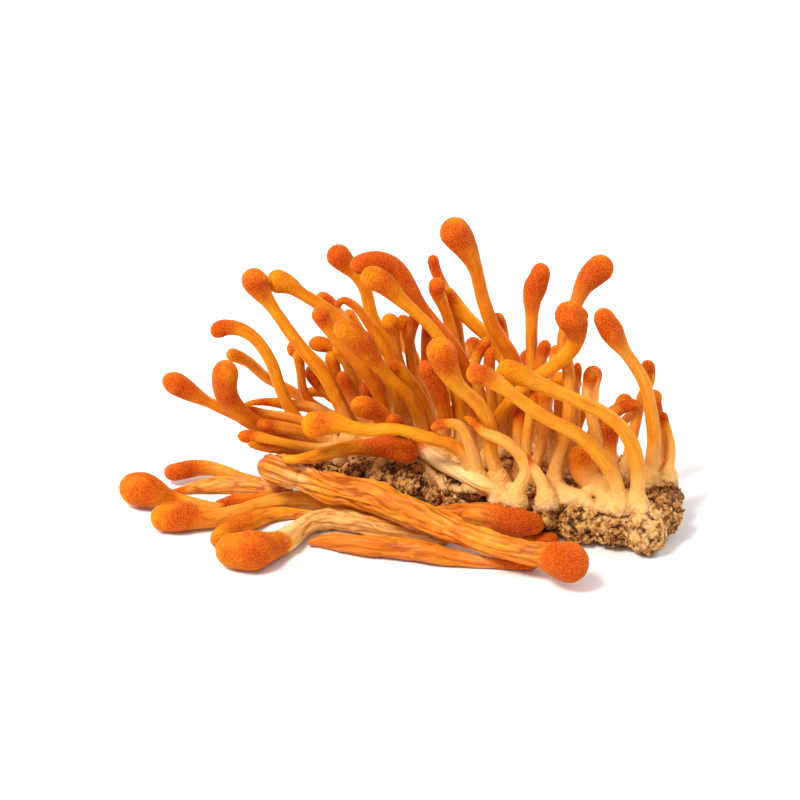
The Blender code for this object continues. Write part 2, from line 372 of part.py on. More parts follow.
def closest(p0, p1, q0, q1):
    """Where on two sets of segments, as shares of each, they come closest."""
    d, e, w = p1 - p0, q1 - q0, p0 - q0
    a, b, c = (d * d).sum(1), (d * e).sum(1), (e * e).sum(1)
    f, g = (d * w).sum(1), (e * w).sum(1)
    s = np.clip((b * g - c * f) / np.maximum(a * c - b * b, 1e-9), 0, 1)
    t = np.clip((b * s + g) / np.maximum(c, 1e-9), 0, 1)
    s = np.clip((b * t - f) / np.maximum(a, 1e-9), 0, 1)
    return s, t


def crowding(lines, families, floors):
    """Move the clubs' stations along their sight lines until neighbours are CLEAR of each other.

    Feet stay, clubs of one family may touch near their common foot, and none goes under its floor."""
    points = np.vstack([line[:, :3] for line in lines])
    radii = np.concatenate([line[:, 3] for line in lines])
    owner = np.concatenate([np.full(len(line), k) for k, line in enumerate(lines)])
    to_foot = np.concatenate([STATION * np.arange(len(line))[::-1] for line in lines])
    standing = floors[owner] > CRUST_TOP
    sights = points - EYE
    sights /= np.linalg.norm(sights, axis=1)[:, None]
    free = np.where(standing, np.clip(to_foot / STIFF_FOOT, 0, 1) ** FREE_POWER, LYING_FREE)
    start = np.flatnonzero(owner[:-1] == owner[1:])
    flat = (points - EYE) @ np.column_stack([ACROSS, UPWARD])
    flat = flat / ((points - EYE) @ INWARD)[:, None] * EYE_OFF
    mids = (flat[start] + flat[start + 1]) / 2
    halves = np.linalg.norm(flat[start] - flat[start + 1], axis=1) / 2
    first, second = np.triu_indices(len(start), 1)
    near = np.linalg.norm(mids[first] - mids[second], axis=1) < (
        halves[first] + halves[second] + radii[start][first] + radii[start][second] + NEAR)
    near &= owner[start][first] != owner[start][second]
    kin = families[owner[start][first]] == families[owner[start][second]]
    at_foot = np.minimum(to_foot[start][first], to_foot[start][second]) < KIN_REACH
    near &= ~(kin & at_foot)
    i, j = start[first[near]], start[second[near]]
    moved = np.zeros(len(points))
    inner = np.flatnonzero((owner[:-2] == owner[1:-1]) & (owner[1:-1] == owner[2:])) + 1
    tips = np.flatnonzero(np.r_[True, owner[1:] != owner[:-1]])
    for turn in range(ROUNDS):
        now = points + sights * moved[:, None]
        s, t = closest(now[i], now[i + 1], now[j], now[j + 1])
        a = now[i] + (now[i + 1] - now[i]) * s[:, None]
        b = now[j] + (now[j + 1] - now[j]) * t[:, None]
        room = radii[i] * (1 - s) + radii[i + 1] * s + radii[j] * (1 - t) + radii[j + 1] * t + CLEAR
        apart = a - b
        distance = np.linalg.norm(apart, axis=1)
        along = (apart * sights[i]).sum(1)
        short = distance < room
        need = np.sqrt(np.maximum(along**2 + room**2 - distance**2, 0)) - np.abs(along)
        push = np.where(short, need, 0) * np.where(along >= 0, 1, -1)
        free_i, free_j = free[i] + LEAST_FREE, free[j] + LEAST_FREE
        total, count = np.zeros(len(points)), np.zeros(len(points))
        for index, share, weight in ((i, 1 - s, 1), (i + 1, s, 1), (j, 1 - t, -1), (j + 1, t, -1)):
            own = free_i if weight > 0 else free_j
            np.add.at(total, index, weight * push * own / (free_i + free_j) * share)
            np.add.at(count, index, short * share)
        moved += np.where(free > 0, 1, 0) * total / np.maximum(count, LEAST_COUNT)
        ease = EASE if turn < LAST_ROUNDS else LAST_EASE
        eased = moved.copy()
        eased[inner] += ease * (moved[inner - 1] + moved[inner + 1] - 2 * moved[inner])
        eased[tips] += ease * (moved[tips + 1] - moved[tips])
        moved = np.where(standing & (to_foot == 0), 0, eased)
        lowest = floors[owner] + radii
        below = np.minimum(points[:, 2] + sights[:, 2] * moved - lowest, 0)
        moved = np.where(to_foot > STIFF_FOOT / 2, moved - below / sights[:, 2], moved)
        moved = np.where(~standing, np.minimum(moved, (lowest - points[:, 2]) / sights[:, 2]), moved)
    now = points + sights * moved[:, None]
    return [now[owner == k] for k in range(len(lines))]


def grown_clubs():
    """Every club as its node's name, its line's points, distances from the tip, radii and tip length."""
    rows = [(name, standing_line(back, trace), 1) for name, back, trace in STANDING]
    pale = np.array([(*on_sight_line(a, b, height=z), r) for a, b, r, z in PALE_FOOT])
    rows.append(("clump_pale_foot", pale, 0))
    rows += [(name, back_line(foot, tip, head), 1) for name, foot, tip, head in BACK]
    rows += [(name, lying_line(low, high, trace), 0) for name, low, high, trace in LYING]
    names = [name for name, _, _ in rows]
    families = np.array([names.index(name) for name in names])
    floors = np.array([CRUST_TOP + CRUST_CLEAR if stands else GROUND_CLEAR for _, _, stands in rows])
    smooth = [smooth_line(line, STATION) for _, line, _ in rows]
    lines = []
    for line, even, cap in smooth:
        line = line.copy()
        line[:, 3] *= np.maximum(round_tip(even, cap), LEAST_TIP)
        lines.append(line)
    grown = []
    for name, points, (line, even, cap) in zip(names, crowding(lines, families, floors), smooth):
        grown.append((name, points, even, line[:, 3], cap))
    return grown


def ring_places(length, cap, pitch):
    """Distances from the tip at which a club gets a ring of corners: close over the head, then evenly."""
    body = max(int(round((length - cap) / pitch)), 3)
    return np.concatenate([[cap * share for share in TIP_RINGS], np.linspace(cap, length, body + 1)])


def club_curve(name, club, pitch, sides_step):
    """A club as a curve object with a bevel: one point for each ring, with the club's radius."""
    _, points, even, radii, cap = club
    places = ring_places(even[-1], cap, pitch)
    data = bpy.data.curves.new(name, "CURVE")
    data.dimensions = "3D"
    data.bevel_depth = MM
    data.bevel_resolution = sides_step
    data.use_fill_caps = True
    spline = data.splines.new("POLY")
    spline.points.add(len(places) - 1)
    wide = np.interp(places, even, radii) * round_tip(places, cap)
    for k, (point, place) in enumerate(zip(spline.points, places)):
        spot = [np.interp(place, even, points[:, axis]) for axis in range(3)]
        point.co = (*[MM * (value + move) for value, move in zip(spot, ZERO_POINT)], 1)
        point.radius = float(wide[k])
    return bpy.data.objects.new(name, data)


def finish(name, colour, roughness):
    """A matt material in one of the fungus's colours."""
    material = bpy.data.materials.get(name) or bpy.data.materials.new(name)
    material.use_nodes = True
    shader = material.node_tree.nodes["Principled BSDF"]
    shader.inputs["Base Color"].default_value = (*colour, 1)
    shader.inputs["Roughness"].default_value = roughness
    shader.inputs["Metallic"].default_value = 0
    return material


def as_mesh(thing):
    """The object's evaluated shape as a mesh object with welded caps; the curve itself is removed."""
    bpy.context.scene.collection.objects.link(thing)
    bpy.context.view_layer.update()
    ready = thing.evaluated_get(bpy.context.evaluated_depsgraph_get())
    mesh = bpy.data.meshes.new_from_object(ready)
    name = thing.name
    bpy.data.objects.remove(thing)
    work = bmesh.new()
    work.from_mesh(mesh)
    bmesh.ops.remove_doubles(work, verts=work.verts, dist=WELD)
    work.to_mesh(mesh)
    work.free()
    return bpy.data.objects.new(name, mesh)


def foot_pad(name, members):
    """The low pad that a clump's clubs grow from, just wide enough for their feet."""
    feet = np.array([points[-1] for _, points, _, _, _ in members])
    middle = feet.mean(0)
    radius = max(PAD_RADIUS, np.linalg.norm((feet - middle)[:, :2], axis=1).max() + PAD_EDGE)
    mesh = bpy.data.meshes.new(name)
    work = bmesh.new()
    bmesh.ops.create_cone(work, cap_ends=True, segments=PAD_SIDES, radius1=radius * MM,
                          radius2=PAD_TAPER * radius * MM, depth=PAD_HEIGHT * MM)
    place = (middle[0] + ZERO_POINT[0], middle[1] + ZERO_POINT[1], FOOT_TOP + PAD_HEIGHT / 2)
    bmesh.ops.translate(work, verts=work.verts, vec=[MM * value for value in place])
    work.to_mesh(mesh)
    work.free()
    return bpy.data.objects.new(name, mesh)


def clump(name, members, bunch, cutters):
    """Small clubs that share one foot: their tubes joined into one solid with a low pad or each other."""
    if name in BRANCHING:
        thing = as_mesh(club_curve(name, members[0], CLUB_PITCH, STANDING_SIDES))
        members = members[1:]
    else:
        thing = foot_pad(name, members)
    bunch.objects.link(thing)
    for number, member in enumerate(members):
        branch = as_mesh(club_curve(f"{name}_branch_{number}", member, CLUMP_PITCH, STANDING_SIDES))
        branch.hide_render = True
        branch.display_type = "WIRE"
        cutters.objects.link(branch)
        union = thing.modifiers.new(f"join_{number}", "BOOLEAN")
        union.operation = "UNION"
        union.solver = "EXACT"
        union.object = branch
    return thing


def crust_lumps():
    """The round lumps along the crust's rim: x, y, z and radius."""
    rng = random.Random(RIM_SEED)
    lumps = list(FRONT_LUMPS)
    outline = np.array(CRUST_OUTLINE, float)
    for (x0, y0), (x1, y1) in zip(outline, np.roll(outline, -1, axis=0)):
        count = max(round(math.hypot(x1 - x0, y1 - y0) / RIM_LUMP_EVERY), 1)
        for k in range(count):
            share = (k + rng.uniform(-RIM_LUMP_SHIFT, RIM_LUMP_SHIFT)) / count
            height = rng.uniform(*RIM_LUMP_HEIGHTS)
            radius = rng.uniform(*RIM_LUMP_RADII)
            lumps.append((x0 + (x1 - x0) * share, y0 + (y1 - y0) * share, height, radius))
    return lumps


def crust():
    """The crust: a slab with lumps all round its rim, remeshed to one skin and cut flat below and above."""
    work = bmesh.new()
    base = [work.verts.new((x * MM, y * MM, SLAB_BOTTOM * MM)) for x, y in CRUST_OUTLINE]
    work.faces.new(base)
    wall = bmesh.ops.extrude_face_region(work, geom=work.faces[:])
    lifted = [v for v in wall["geom"] if isinstance(v, bmesh.types.BMVert)]
    bmesh.ops.translate(work, verts=lifted, vec=(0, 0, (SLAB_TOP - SLAB_BOTTOM) * MM))
    bmesh.ops.recalc_face_normals(work, faces=work.faces)
    for x, y, z, radius in crust_lumps():
        ball = bmesh.ops.create_icosphere(work, subdivisions=2, radius=radius * MM)
        bmesh.ops.translate(work, verts=ball["verts"], vec=(x * MM, y * MM, z * MM))
    mesh = bpy.data.meshes.new("substrate_crust")
    work.to_mesh(mesh)
    work.free()
    rough = bpy.data.objects.new("crust_rough", mesh)
    remesh = rough.modifiers.new("one_skin", "REMESH")
    remesh.mode = "VOXEL"
    remesh.voxel_size = CRUST_VOXEL * MM
    thing = as_mesh(rough)
    thing.name = "substrate_crust"
    work = bmesh.new()
    work.from_mesh(thing.data)
    for vert in work.verts:
        vert.co.z = min(max(vert.co.z, 0.0), CRUST_TOP * MM)
        vert.co.x += ZERO_POINT[0] * MM
        vert.co.y += ZERO_POINT[1] * MM
    bmesh.ops.remove_doubles(work, verts=work.verts, dist=CRUST_WELD)
    bmesh.ops.dissolve_limit(work, angle_limit=FLAT_ENOUGH, verts=work.verts, edges=work.edges)
    bmesh.ops.triangulate(work, faces=work.faces)
    work.to_mesh(thing.data)
    work.free()
    return thing


def build():
    for thing in list(bpy.data.objects):
        bpy.data.objects.remove(thing)
    bunch = bpy.data.collections.new("cordyceps_bunch")
    cutters = bpy.data.collections.new("cutters")
    for collection in (bunch, cutters):
        bpy.context.scene.collection.children.link(collection)
    orange = finish("orange_club", *ORANGE_CLUB)
    pale = finish("pale_stem", *PALE_STEM)
    grain = finish("grain_crust", *GRAIN_CRUST)
    clubs = grown_clubs()
    for name in dict.fromkeys(club[0] for club in clubs):
        members = [club for club in clubs if club[0] == name]
        if name.startswith("clump"):
            thing = clump(name, members, bunch, cutters)
        else:
            sides = LYING_SIDES if name.startswith("lying") else STANDING_SIDES
            thing = club_curve(name, members[0], CLUB_PITCH, sides)
            bunch.objects.link(thing)
        thing.data.materials.append(pale if name in BRANCHING else orange)
    ground = crust()
    ground.data.materials.append(grain)
    bunch.objects.link(ground)


build()
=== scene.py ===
import itertools
import math
import random
from functools import partial

import bmesh
import bpy
import numpy as np
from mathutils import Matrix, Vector
from mathutils.bvhtree import BVHTree
from mathutils.kdtree import KDTree


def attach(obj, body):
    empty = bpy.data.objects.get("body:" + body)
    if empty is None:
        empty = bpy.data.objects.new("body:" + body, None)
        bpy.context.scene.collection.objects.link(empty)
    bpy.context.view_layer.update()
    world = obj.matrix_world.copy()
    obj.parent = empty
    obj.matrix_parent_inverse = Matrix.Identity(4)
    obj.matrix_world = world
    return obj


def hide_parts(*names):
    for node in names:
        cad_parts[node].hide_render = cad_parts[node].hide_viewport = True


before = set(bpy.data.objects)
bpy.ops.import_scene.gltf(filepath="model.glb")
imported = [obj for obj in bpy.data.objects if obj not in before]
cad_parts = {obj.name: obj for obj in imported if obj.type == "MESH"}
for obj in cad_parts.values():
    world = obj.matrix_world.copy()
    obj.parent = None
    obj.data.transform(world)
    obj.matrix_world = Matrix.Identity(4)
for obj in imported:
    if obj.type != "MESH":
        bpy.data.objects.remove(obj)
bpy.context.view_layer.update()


# The view: a camera in front of the bunch looks down on it by 25 degrees through a long lens. Each club
# is traced in this view, in millimetres across and up, and a point's height or depth gives its place.
MM = 0.001
VIEW_TILT = math.radians(25)
EYE_OFF = 600.0
AIM_UP = 20.0
ACROSS = np.array([1.0, 0.0, 0.0])
UPWARD = np.array([0.0, math.sin(VIEW_TILT), math.cos(VIEW_TILT)])
INWARD = np.array([0.0, math.cos(VIEW_TILT), -math.sin(VIEW_TILT)])
EYE = AIM_UP * UPWARD - EYE_OFF * INWARD
ZERO_POINT = np.array([0.5, 2.6, 0.0])

lens = bpy.data.cameras.new("camera")
lens.sensor_width = 36
lens.lens = 135
camera = bpy.data.objects.new("camera", lens)
camera.location = (EYE + ZERO_POINT) * MM
camera.rotation_euler = (math.pi / 2 - VIEW_TILT, 0, 0)
bpy.context.scene.collection.objects.link(camera)
bpy.context.scene.camera = camera


def sight_through(across, up):
    """The way from the eye to what the view shows at (across, up)."""
    return across * ACROSS + (up - AIM_UP) * UPWARD + EYE_OFF * INWARD


def on_sight_line(across, up, back=None, height=None):
    """The point of space that the view shows at (across, up), given how far back or how high it is."""
    sight = sight_through(across, up)
    reach = (back - EYE[1]) / sight[1] if height is None else (height - EYE[2]) / sight[2]
    return EYE + reach * sight


# How the clubs grow and lie: every fruit body is one bent, tapering stem with a swollen tip. They stand
# crowded on the crust, fused at the foot in clumps, and picked ones lie in a heap against the front. Their
# lines come first, because the crust's threads climb their feet.

# Standing: node, how far back the tip stands, and (across, up, radius) from the tip to the foot
STANDING = [
    ("club_long_left", 11, [(-29.2, 46.3, 0), (-29, 43.7, 2.6), (-27.5, 41.3, 1.9), (-26.2, 39.5, 1.4),
        (-22, 33.5, 1.3), (-18.5, 29, 1.3), (-15.5, 25.3, 1.35), (-13, 21, 1.4), (-11.2, 17, 1.4),
        (-10, 13, 1.4)]),
    ("club_yellow_left", 14, [(-26.7, 44, 0), (-24.3, 43.7, 2.4), (-21.5, 42.6, 1.7), (-20, 41.5, 1.3),
        (-17.5, 40, 1.25), (-13, 37, 1.25), (-8, 32, 1.3), (-4, 27, 1.3), (-1, 21.5, 1.3),
        (0.8, 15, 1.3)]),
    ("club_hooked_left", 8, [(-37.6, 33, 0), (-36, 34.2, 1.7), (-32, 34.2, 1.4), (-29.5, 32.7, 1.25),
        (-26, 28, 1.2), (-24, 22.5, 1.2), (-21.5, 17.5, 1.25), (-18, 13.6, 1.25), (-14.7, 12.2, 1.25)]),
    ("club_curved_left", -6, [(-34.2, 27.4, 0), (-35, 25, 2.6), (-35, 22.3, 2.4), (-34.2, 20, 2.2),
        (-32.5, 18, 1.9), (-30, 15.9, 1.7), (-27, 14.3, 1.6), (-24, 12.7, 1.45), (-20.5, 11.1, 1.4),
        (-17.4, 10, 1.4)]),
    ("club_far_left", 5, [(-47.4, 24.4, 0), (-44.5, 23.1, 2.3), (-41.5, 21.3, 1.8), (-39.5, 20.2, 1.3),
        (-35, 18, 1.15), (-31, 16.2, 1.1), (-26, 14.6, 1.15), (-21.5, 13.5, 1.2), (-17.7, 13, 1.2)]),
    ("club_high_left", 18, [(-13.8, 50.5, 0), (-12.3, 48.8, 2.4), (-10.5, 47, 2), (-8.5, 45, 1.5),
        (-7.3, 43, 1.35), (-5.6, 37, 1.3), (-2.5, 31, 1.3), (0.5, 24.5, 1.3), (3, 16.5, 1.35)]),
    ("club_arched", 7, [(-9.5, 46, 0), (-8.3, 47, 1.8), (-6.5, 47.6, 2), (-4, 47.6, 2.1), (-1.7, 46.8, 2),
        (0.5, 44.7, 1.8), (2.2, 41.8, 1.6), (3.9, 38.8, 1.5), (6.3, 35.8, 1.45), (10.3, 31.3, 1.4),
        (13.6, 25, 1.4), (15.2, 18, 1.4), (15.4, 12, 1.45)]),
    ("club_short_arched", 0, [(-7.9, 44.6, 0), (-5, 44.3, 2.4), (-2.5, 42.7, 2.1), (0, 40.2, 1.5),
        (3, 37.6, 1.15), (6, 34.7, 1.15), (8.7, 31, 1.2), (10.6, 25, 1.25), (11.8, 17, 1.3),
        (12.2, 10, 1.35)]),
    ("club_oval_head", -5, [(-12.9, 34.9, 0), (-11, 34.1, 2.2), (-8, 31.6, 2.4), (-5.8, 28.8, 1.9),
        (-4, 26.5, 1.4), (-2, 24.3, 1.25), (2, 20.3, 1.25), (3.8, 16.5, 1.3), (4.6, 11, 1.35)]),
    ("club_thin_hooked", 9, [(-12.8, 38.7, 0), (-13, 39.3, 0.7), (-12, 39.9, 0.75), (-10, 39.5, 0.85),
        (-8.5, 38.3, 0.9), (-7, 36.5, 1), (-4, 31.5, 1.15), (-1.5, 27.5, 1.2), (0, 20, 1.2),
        (-0.9, 13.5, 1.25)]),
    ("club_under_oval", 3, [(-16.8, 38.3, 0), (-16, 37, 1.7), (-14.5, 34.8, 1.5), (-10.5, 30, 1.4),
        (-7.5, 26.5, 1.5), (-5, 22.5, 1.3), (-3.2, 18, 1.2), (-1.8, 11.5, 1.25)]),
    ("club_tallest", 8, [(9, 55.7, 0), (11, 53.5, 3), (12.8, 51, 2.6), (14, 48.8, 1.9), (15, 46.5, 1.5),
        (16.5, 40.5, 1.4), (18.7, 34.5, 1.45), (22.3, 28.8, 1.45), (24.6, 22, 1.4), (25, 12.4, 1.45)]),
    ("club_slim_middle", 17, [(6.4, 49, 0), (6.6, 47.8, 1.15), (7.5, 45, 1.1), (8.8, 42.5, 1.15),
        (10, 40, 1.2), (11.8, 31, 1.3), (12.6, 24, 1.3), (12.8, 15, 1.3)]),
    ("club_dark_middle", 9, [(7.5, 44.4, 0), (7.3, 42.8, 1.7), (8, 40.5, 1.4), (9, 38, 1.1),
        (10.3, 33.5, 1.1), (11.4, 26, 1.2), (11.4, 18, 1.2), (11, 13.4, 1.25)]),
    ("club_yellow_middle", 13, [(8.2, 42.4, 0), (9.5, 41, 1.6), (14, 36, 1.4), (16.5, 33.7, 1.35),
        (19, 31.3, 1.3), (21.4, 26, 1.3), (22.3, 19, 1.3), (21.5, 13.4, 1.35)]),
    ("club_upright_right", 9, [(28.2, 47.4, 0), (28, 45, 2), (27, 42.3, 2.3), (26.5, 40, 1.9),
        (26.4, 37.5, 1.4), (26.3, 32, 1.25), (26.6, 24, 1.2), (27.6, 16, 1.25), (29.3, 11, 1.3)]),
    ("club_ball_head", -10, [(35, 38.9, 0), (34.3, 36.6, 3.2), (35.3, 34.2, 2.2), (34.8, 31, 1.6),
        (31, 27, 1.4), (26, 23.5, 1.3), (22, 19.7, 1.2), (19, 15.5, 1.25), (17.6, 8.6, 1.3)]),
    ("club_high_right", 1, [(42.3, 47.8, 0), (40, 46.3, 2.7), (37.8, 44.2, 2.4), (36.3, 42, 1.7),
        (35.5, 40, 1.4), (34, 36.5, 1.3), (32.6, 31.5, 1.25), (33.6, 26.5, 1.25), (33.8, 18, 1.25),
        (32.6, 11, 1.3), (31, 5.5, 1.4), (30.8, 3.6, 1.45)]),
    ("club_outer_right", -8, [(40.1, 38.2, 0), (41, 36, 2.1), (42.3, 33.8, 2.3), (43.5, 31.8, 1.9),
        (44.5, 30.3, 1.4), (46, 28.3, 1.25), (48.8, 23.5, 1.25), (50.2, 17.5, 1.3), (50.8, 11.5, 1.4),
        (49.9, 5, 1.4)]),
    ("club_long_front", -18, [(19.2, 25.9, 0), (21.5, 25.6, 2.4), (24, 25, 2.1), (26, 24, 1.7),
        (28.5, 22.9, 1.5), (34, 20.5, 1.35), (40, 17.8, 1.35), (44.7, 14, 1.4), (47.1, 9, 1.45),
        (47.6, 4, 1.4), (47.3, 0.4, 1.4)]),
    ("club_front_below", -20, [(13.2, 25.1, 0), (15.3, 25.2, 2), (17.5, 24.4, 1.9), (20, 23, 1.5),
        (22, 21.5, 1.3), (27, 17.8, 1.3), (30, 16, 1.3), (36, 12.7, 1.35), (40.5, 8, 1.4),
        (43.2, 3.6, 1.4), (43.8, 0, 1.4)]),
    ("club_front_centre", -14, [(8.2, 32.1, 0), (8.3, 29.5, 2.9), (9.2, 27, 2.5), (10.3, 24.8, 1.9),
        (11.8, 22.7, 1.5), (15.5, 19.3, 1.4), (17.9, 15, 1.35), (18.3, 9, 1.35), (19.8, 4.6, 1.4)]),
    ("club_thick_dark", -3, [(4.7, 27.6, 0), (5.3, 26, 1.6), (6.5, 24, 1.8), (7.8, 21.5, 1.7),
        (8.8, 18, 1.5), (8.6, 10, 1.4)]),
    ("club_inner_bent", 0, [(-2.7, 26.6, 0), (-1.5, 26.8, 1.3), (1, 24.7, 1.4), (3, 22, 1.3),
        (5.7, 16.5, 1.3), (7.4, 12.2, 1.3)]),
    ("club_dry_pointed", 5, [(-31.2, 19.2, 0), (-28, 19.6, 0.7), (-25, 19.5, 1), (-22, 19, 1.1),
        (-18, 18.5, 1.2), (-15.8, 17.2, 1.3), (-14.4, 14.4, 1.3)]),
    ("club_pale_slim", -3, [(35.5, 27.5, 0), (35.7, 26.3, 0.8), (35.3, 24, 0.8), (35.2, 18, 0.85),
        (34.8, 13, 0.95), (33.8, 9.6, 1.05), (33, 7.4, 1.1)]),
    ("club_bent_right", -5, [(38.4, 26.2, 0), (38.3, 24.8, 1.6), (37.6, 23, 1.2), (37.5, 21, 1.1),
        (38.5, 16, 1.15), (39.6, 10, 1.2), (40, 5.4, 1.25)]),
    ("club_pointing_right", -3, [(48.3, 18.9, 0), (46, 19, 1.3), (44, 18.3, 1.3), (40.5, 16, 1.2),
        (38, 12, 1.2), (37.4, 7.6, 1.25)]),
    ("club_dark_tip_right", 1, [(49.3, 28, 0), (49.5, 26.5, 1.5), (49.9, 24.3, 1.2), (48.4, 20.5, 1.1),
        (46.8, 14, 1.1), (45.4, 7.2, 1.15)]),
    ("clump_left_upper", 14, [(-34.7, 29.5, 0), (-33.3, 29, 1.4), (-31, 28, 1.2), (-27, 24.7, 1.1),
        (-21.5, 21.6, 1.1), (-16.6, 18.6, 1.1), (-12.9, 16.2, 1.2)]),
    ("clump_left_upper", 11, [(-20.6, 29.8, 0), (-20.3, 28.6, 1.1), (-19.9, 26, 0.95), (-19, 21, 1),
        (-15.6, 17.6, 1.05), (-11.6, 15.4, 1.1)]),
    ("clump_left_low", 2, [(-31.5, 18.3, 0), (-30, 18, 0.9), (-27, 17.2, 1), (-22, 16.4, 1.1),
        (-16, 14, 1.1), (-12, 10.8, 1.1)]),
    ("clump_left_low", -1, [(-28.6, 15.4, 0), (-27, 15, 1.3), (-23, 14.4, 1.2), (-18, 13.2, 1.15),
        (-12.6, 10.3, 1.15)]),
    ("clump_left_low", -4, [(-32.5, 12.8, 0), (-30.5, 12.7, 1.3), (-28, 12.5, 1.1), (-26, 12.1, 0.9),
        (-20, 10.8, 1), (-12.6, 9.9, 1.1)]),
    ("clump_left_low", -4, [(-30.4, 11.3, 0), (-28.6, 10.8, 0.8), (-26, 10.3, 0.9), (-23, 10.1, 0.95),
        (-18, 10, 1.05), (-12.7, 10, 1.1)]),
    ("clump_left_back", 15, [(-17.4, 27.1, 0), (-17.3, 25.2, 1.7), (-15.8, 22.7, 1.3), (-12, 19.3, 1.1),
        (-7.5, 16.2, 1.15)]),
    ("clump_left_back", 17, [(-18.3, 31.3, 0), (-16, 31.2, 1.6), (-13, 30.2, 1.3), (-9.2, 25, 1.1),
        (-6.6, 17, 1.15)]),
    ("clump_left_back", 17, [(-20, 21, 0), (-18.7, 21.4, 1), (-16, 21.7, 1.1), (-11.5, 19.6, 1.1),
        (-6.6, 15.8, 1.1)]),
    ("clump_left_inner", 9, [(-12.8, 30.9, 0), (-12.3, 29.9, 1.3), (-11, 28, 1.1), (-10, 25.5, 1),
        (-8.2, 19, 1.05), (-6, 13.8, 1.1)]),
    ("clump_left_inner", 12, [(-14.2, 29.6, 0), (-13.6, 28, 1.4), (-12.5, 24.5, 1.1), (-8.9, 19, 1.05),
        (-5.4, 14.4, 1.1)]),
    ("clump_left_inner", 8, [(-12, 25.6, 0), (-11.3, 24, 1.3), (-9.2, 19.5, 1.1), (-5.6, 13.2, 1.15)]),
    ("clump_left_inner", 6, [(-7.2, 23.4, 0), (-6.6, 22, 1.2), (-5.6, 19, 1.1), (-4.9, 13.6, 1.15)]),
    ("clump_low_knobs", -4, [(-9.8, 18.9, 0), (-7, 18.6, 2.2), (-4.5, 17.5, 1.9), (-2.5, 16.3, 1.4),
        (-0.9, 13, 1.2), (-0.6, 9.8, 1.25)]),
    ("clump_low_knobs", -5, [(-1.9, 16.6, 0), (-0.9, 15.3, 1.6), (0.6, 13.2, 1.2), (0.8, 9.4, 1.25)]),
    ("clump_middle_back", 19, [(-16.8, 40.9, 0), (-15.3, 40.1, 1.6), (-12, 37, 1.2), (-6, 29, 1.15),
        (-2, 17.4, 1.2)]),
    ("clump_middle_back", 17, [(-14.6, 37.3, 0), (-13.3, 36.3, 1.5), (-10.3, 33, 1.1), (-5.8, 26, 1.1),
        (-1.8, 18.2, 1.15)]),
    ("clump_middle_back", 20, [(-10.8, 38, 0), (-10, 36.8, 1.2), (-7.6, 33, 1.1), (-4.2, 26, 1.1),
        (-0.7, 17.7, 1.15)]),
    ("clump_middle", 9, [(-2.6, 37.1, 0), (-1.9, 35.4, 1.8), (-1.2, 33, 1.15), (0, 27, 1.1),
        (3.6, 20, 1.1), (6, 14, 1.2)]),
    ("clump_middle", 14, [(0.3, 37, 0), (0.8, 35.5, 1.4), (1.8, 31.5, 1.1), (4.3, 23, 1.1),
        (6.6, 14.9, 1.15)]),
    ("clump_middle", 12, [(3.3, 38, 0), (3, 36.6, 1.2), (2, 32, 1), (2.4, 26.5, 1), (5.2, 20, 1.1),
        (7, 14.3, 1.15)]),
    ("clump_middle", 15, [(5.9, 36, 0), (5.6, 34.4, 1.3), (5.2, 30.5, 1.1), (5.8, 23, 1.1),
        (7.6, 15.4, 1.15)]),
    ("clump_right_middle", 9, [(19.2, 37.4, 0), (19.8, 35.8, 1.3), (20.9, 32.5, 1), (20.6, 24, 1.05),
        (20, 12, 1.15)]),
    ("clump_right_middle", 3, [(17.6, 32.5, 0), (16.9, 31, 1.2), (15.3, 28.4, 1.1), (16.4, 20, 1.1),
        (19.3, 11.5, 1.15)]),
    ("clump_right_middle", 2, [(18.4, 30.6, 0), (17.9, 28.2, 1.2), (18, 24, 1.15), (19, 17, 1.1),
        (20.3, 11.2, 1.15)]),
    ("clump_right_back", 5, [(29.3, 32, 0), (28.9, 30.5, 1.3), (28.1, 27.6, 1.1), (29, 20, 1.1),
        (31.6, 9.6, 1.15)]),
    ("clump_right_back", 1, [(32.1, 25.6, 0), (32, 23.9, 1.5), (31.8, 21, 1.1), (31.8, 16, 1.1),
        (32.4, 9, 1.15)]),
    ("clump_right_back", 0, [(37, 19.4, 0), (36.5, 18, 1.1), (35.6, 15, 1), (33.6, 9, 1.1)]),
    ("clump_right_inner", -7, [(29.3, 23.8, 0), (29, 21.6, 1.4), (28.9, 18, 1.1), (28.3, 11, 1.05),
        (26.4, 5.2, 1.2)]),
    ("clump_right_inner", -4, [(27.4, 22.8, 0), (27, 21.3, 1.2), (26, 16, 1.1), (25.2, 10, 1.1),
        (25.4, 5.8, 1.15)]),
    ("clump_right_inner", -1, [(24.6, 19.2, 0), (24.2, 17.5, 1.3), (23.6, 13.5, 1.15), (24.4, 6.4, 1.2)]),
    ("clump_right_end", -3, [(51.2, 21.2, 0), (51.5, 19.6, 0.8), (52.1, 15, 0.85), (52.9, 10, 0.95),
        (53.1, 6.8, 1)]),
    ("clump_right_end", -5, [(52.5, 17.6, 0), (52.7, 16.6, 0.85), (53.9, 12.5, 0.85), (54.2, 9, 0.95),
        (53.4, 5.6, 1)]),
    ("clump_stubs_right", -12, [(41, 15.4, 0), (42, 13.5, 1.6), (42, 10.5, 1.3), (42.3, 7, 1.2),
        (42.6, 2.9, 1.25)]),
    ("clump_stubs_right", -11, [(35.8, 11, 0), (36, 9, 2.2), (36.6, 6.5, 2.7), (38, 4, 2.2),
        (40.4, 2.6, 1.4)]),
    ("clump_forked_foot", -10, [(12.9, 16.7, 0), (14.5, 15.7, 0.75), (16.2, 13.9, 0.9),
        (19.8, 12.3, 1.15), (22, 11, 1.2), (24, 9, 1.25), (25.3, 6, 1.3), (24, 3, 1.3),
        (23.2, 1.2, 1.3)]),
    ("clump_forked_foot", -15.2, [(24, 9.4, 0), (24.9, 8.2, 1.2), (26, 6.8, 1.15), (27.8, 4.6, 1.15),
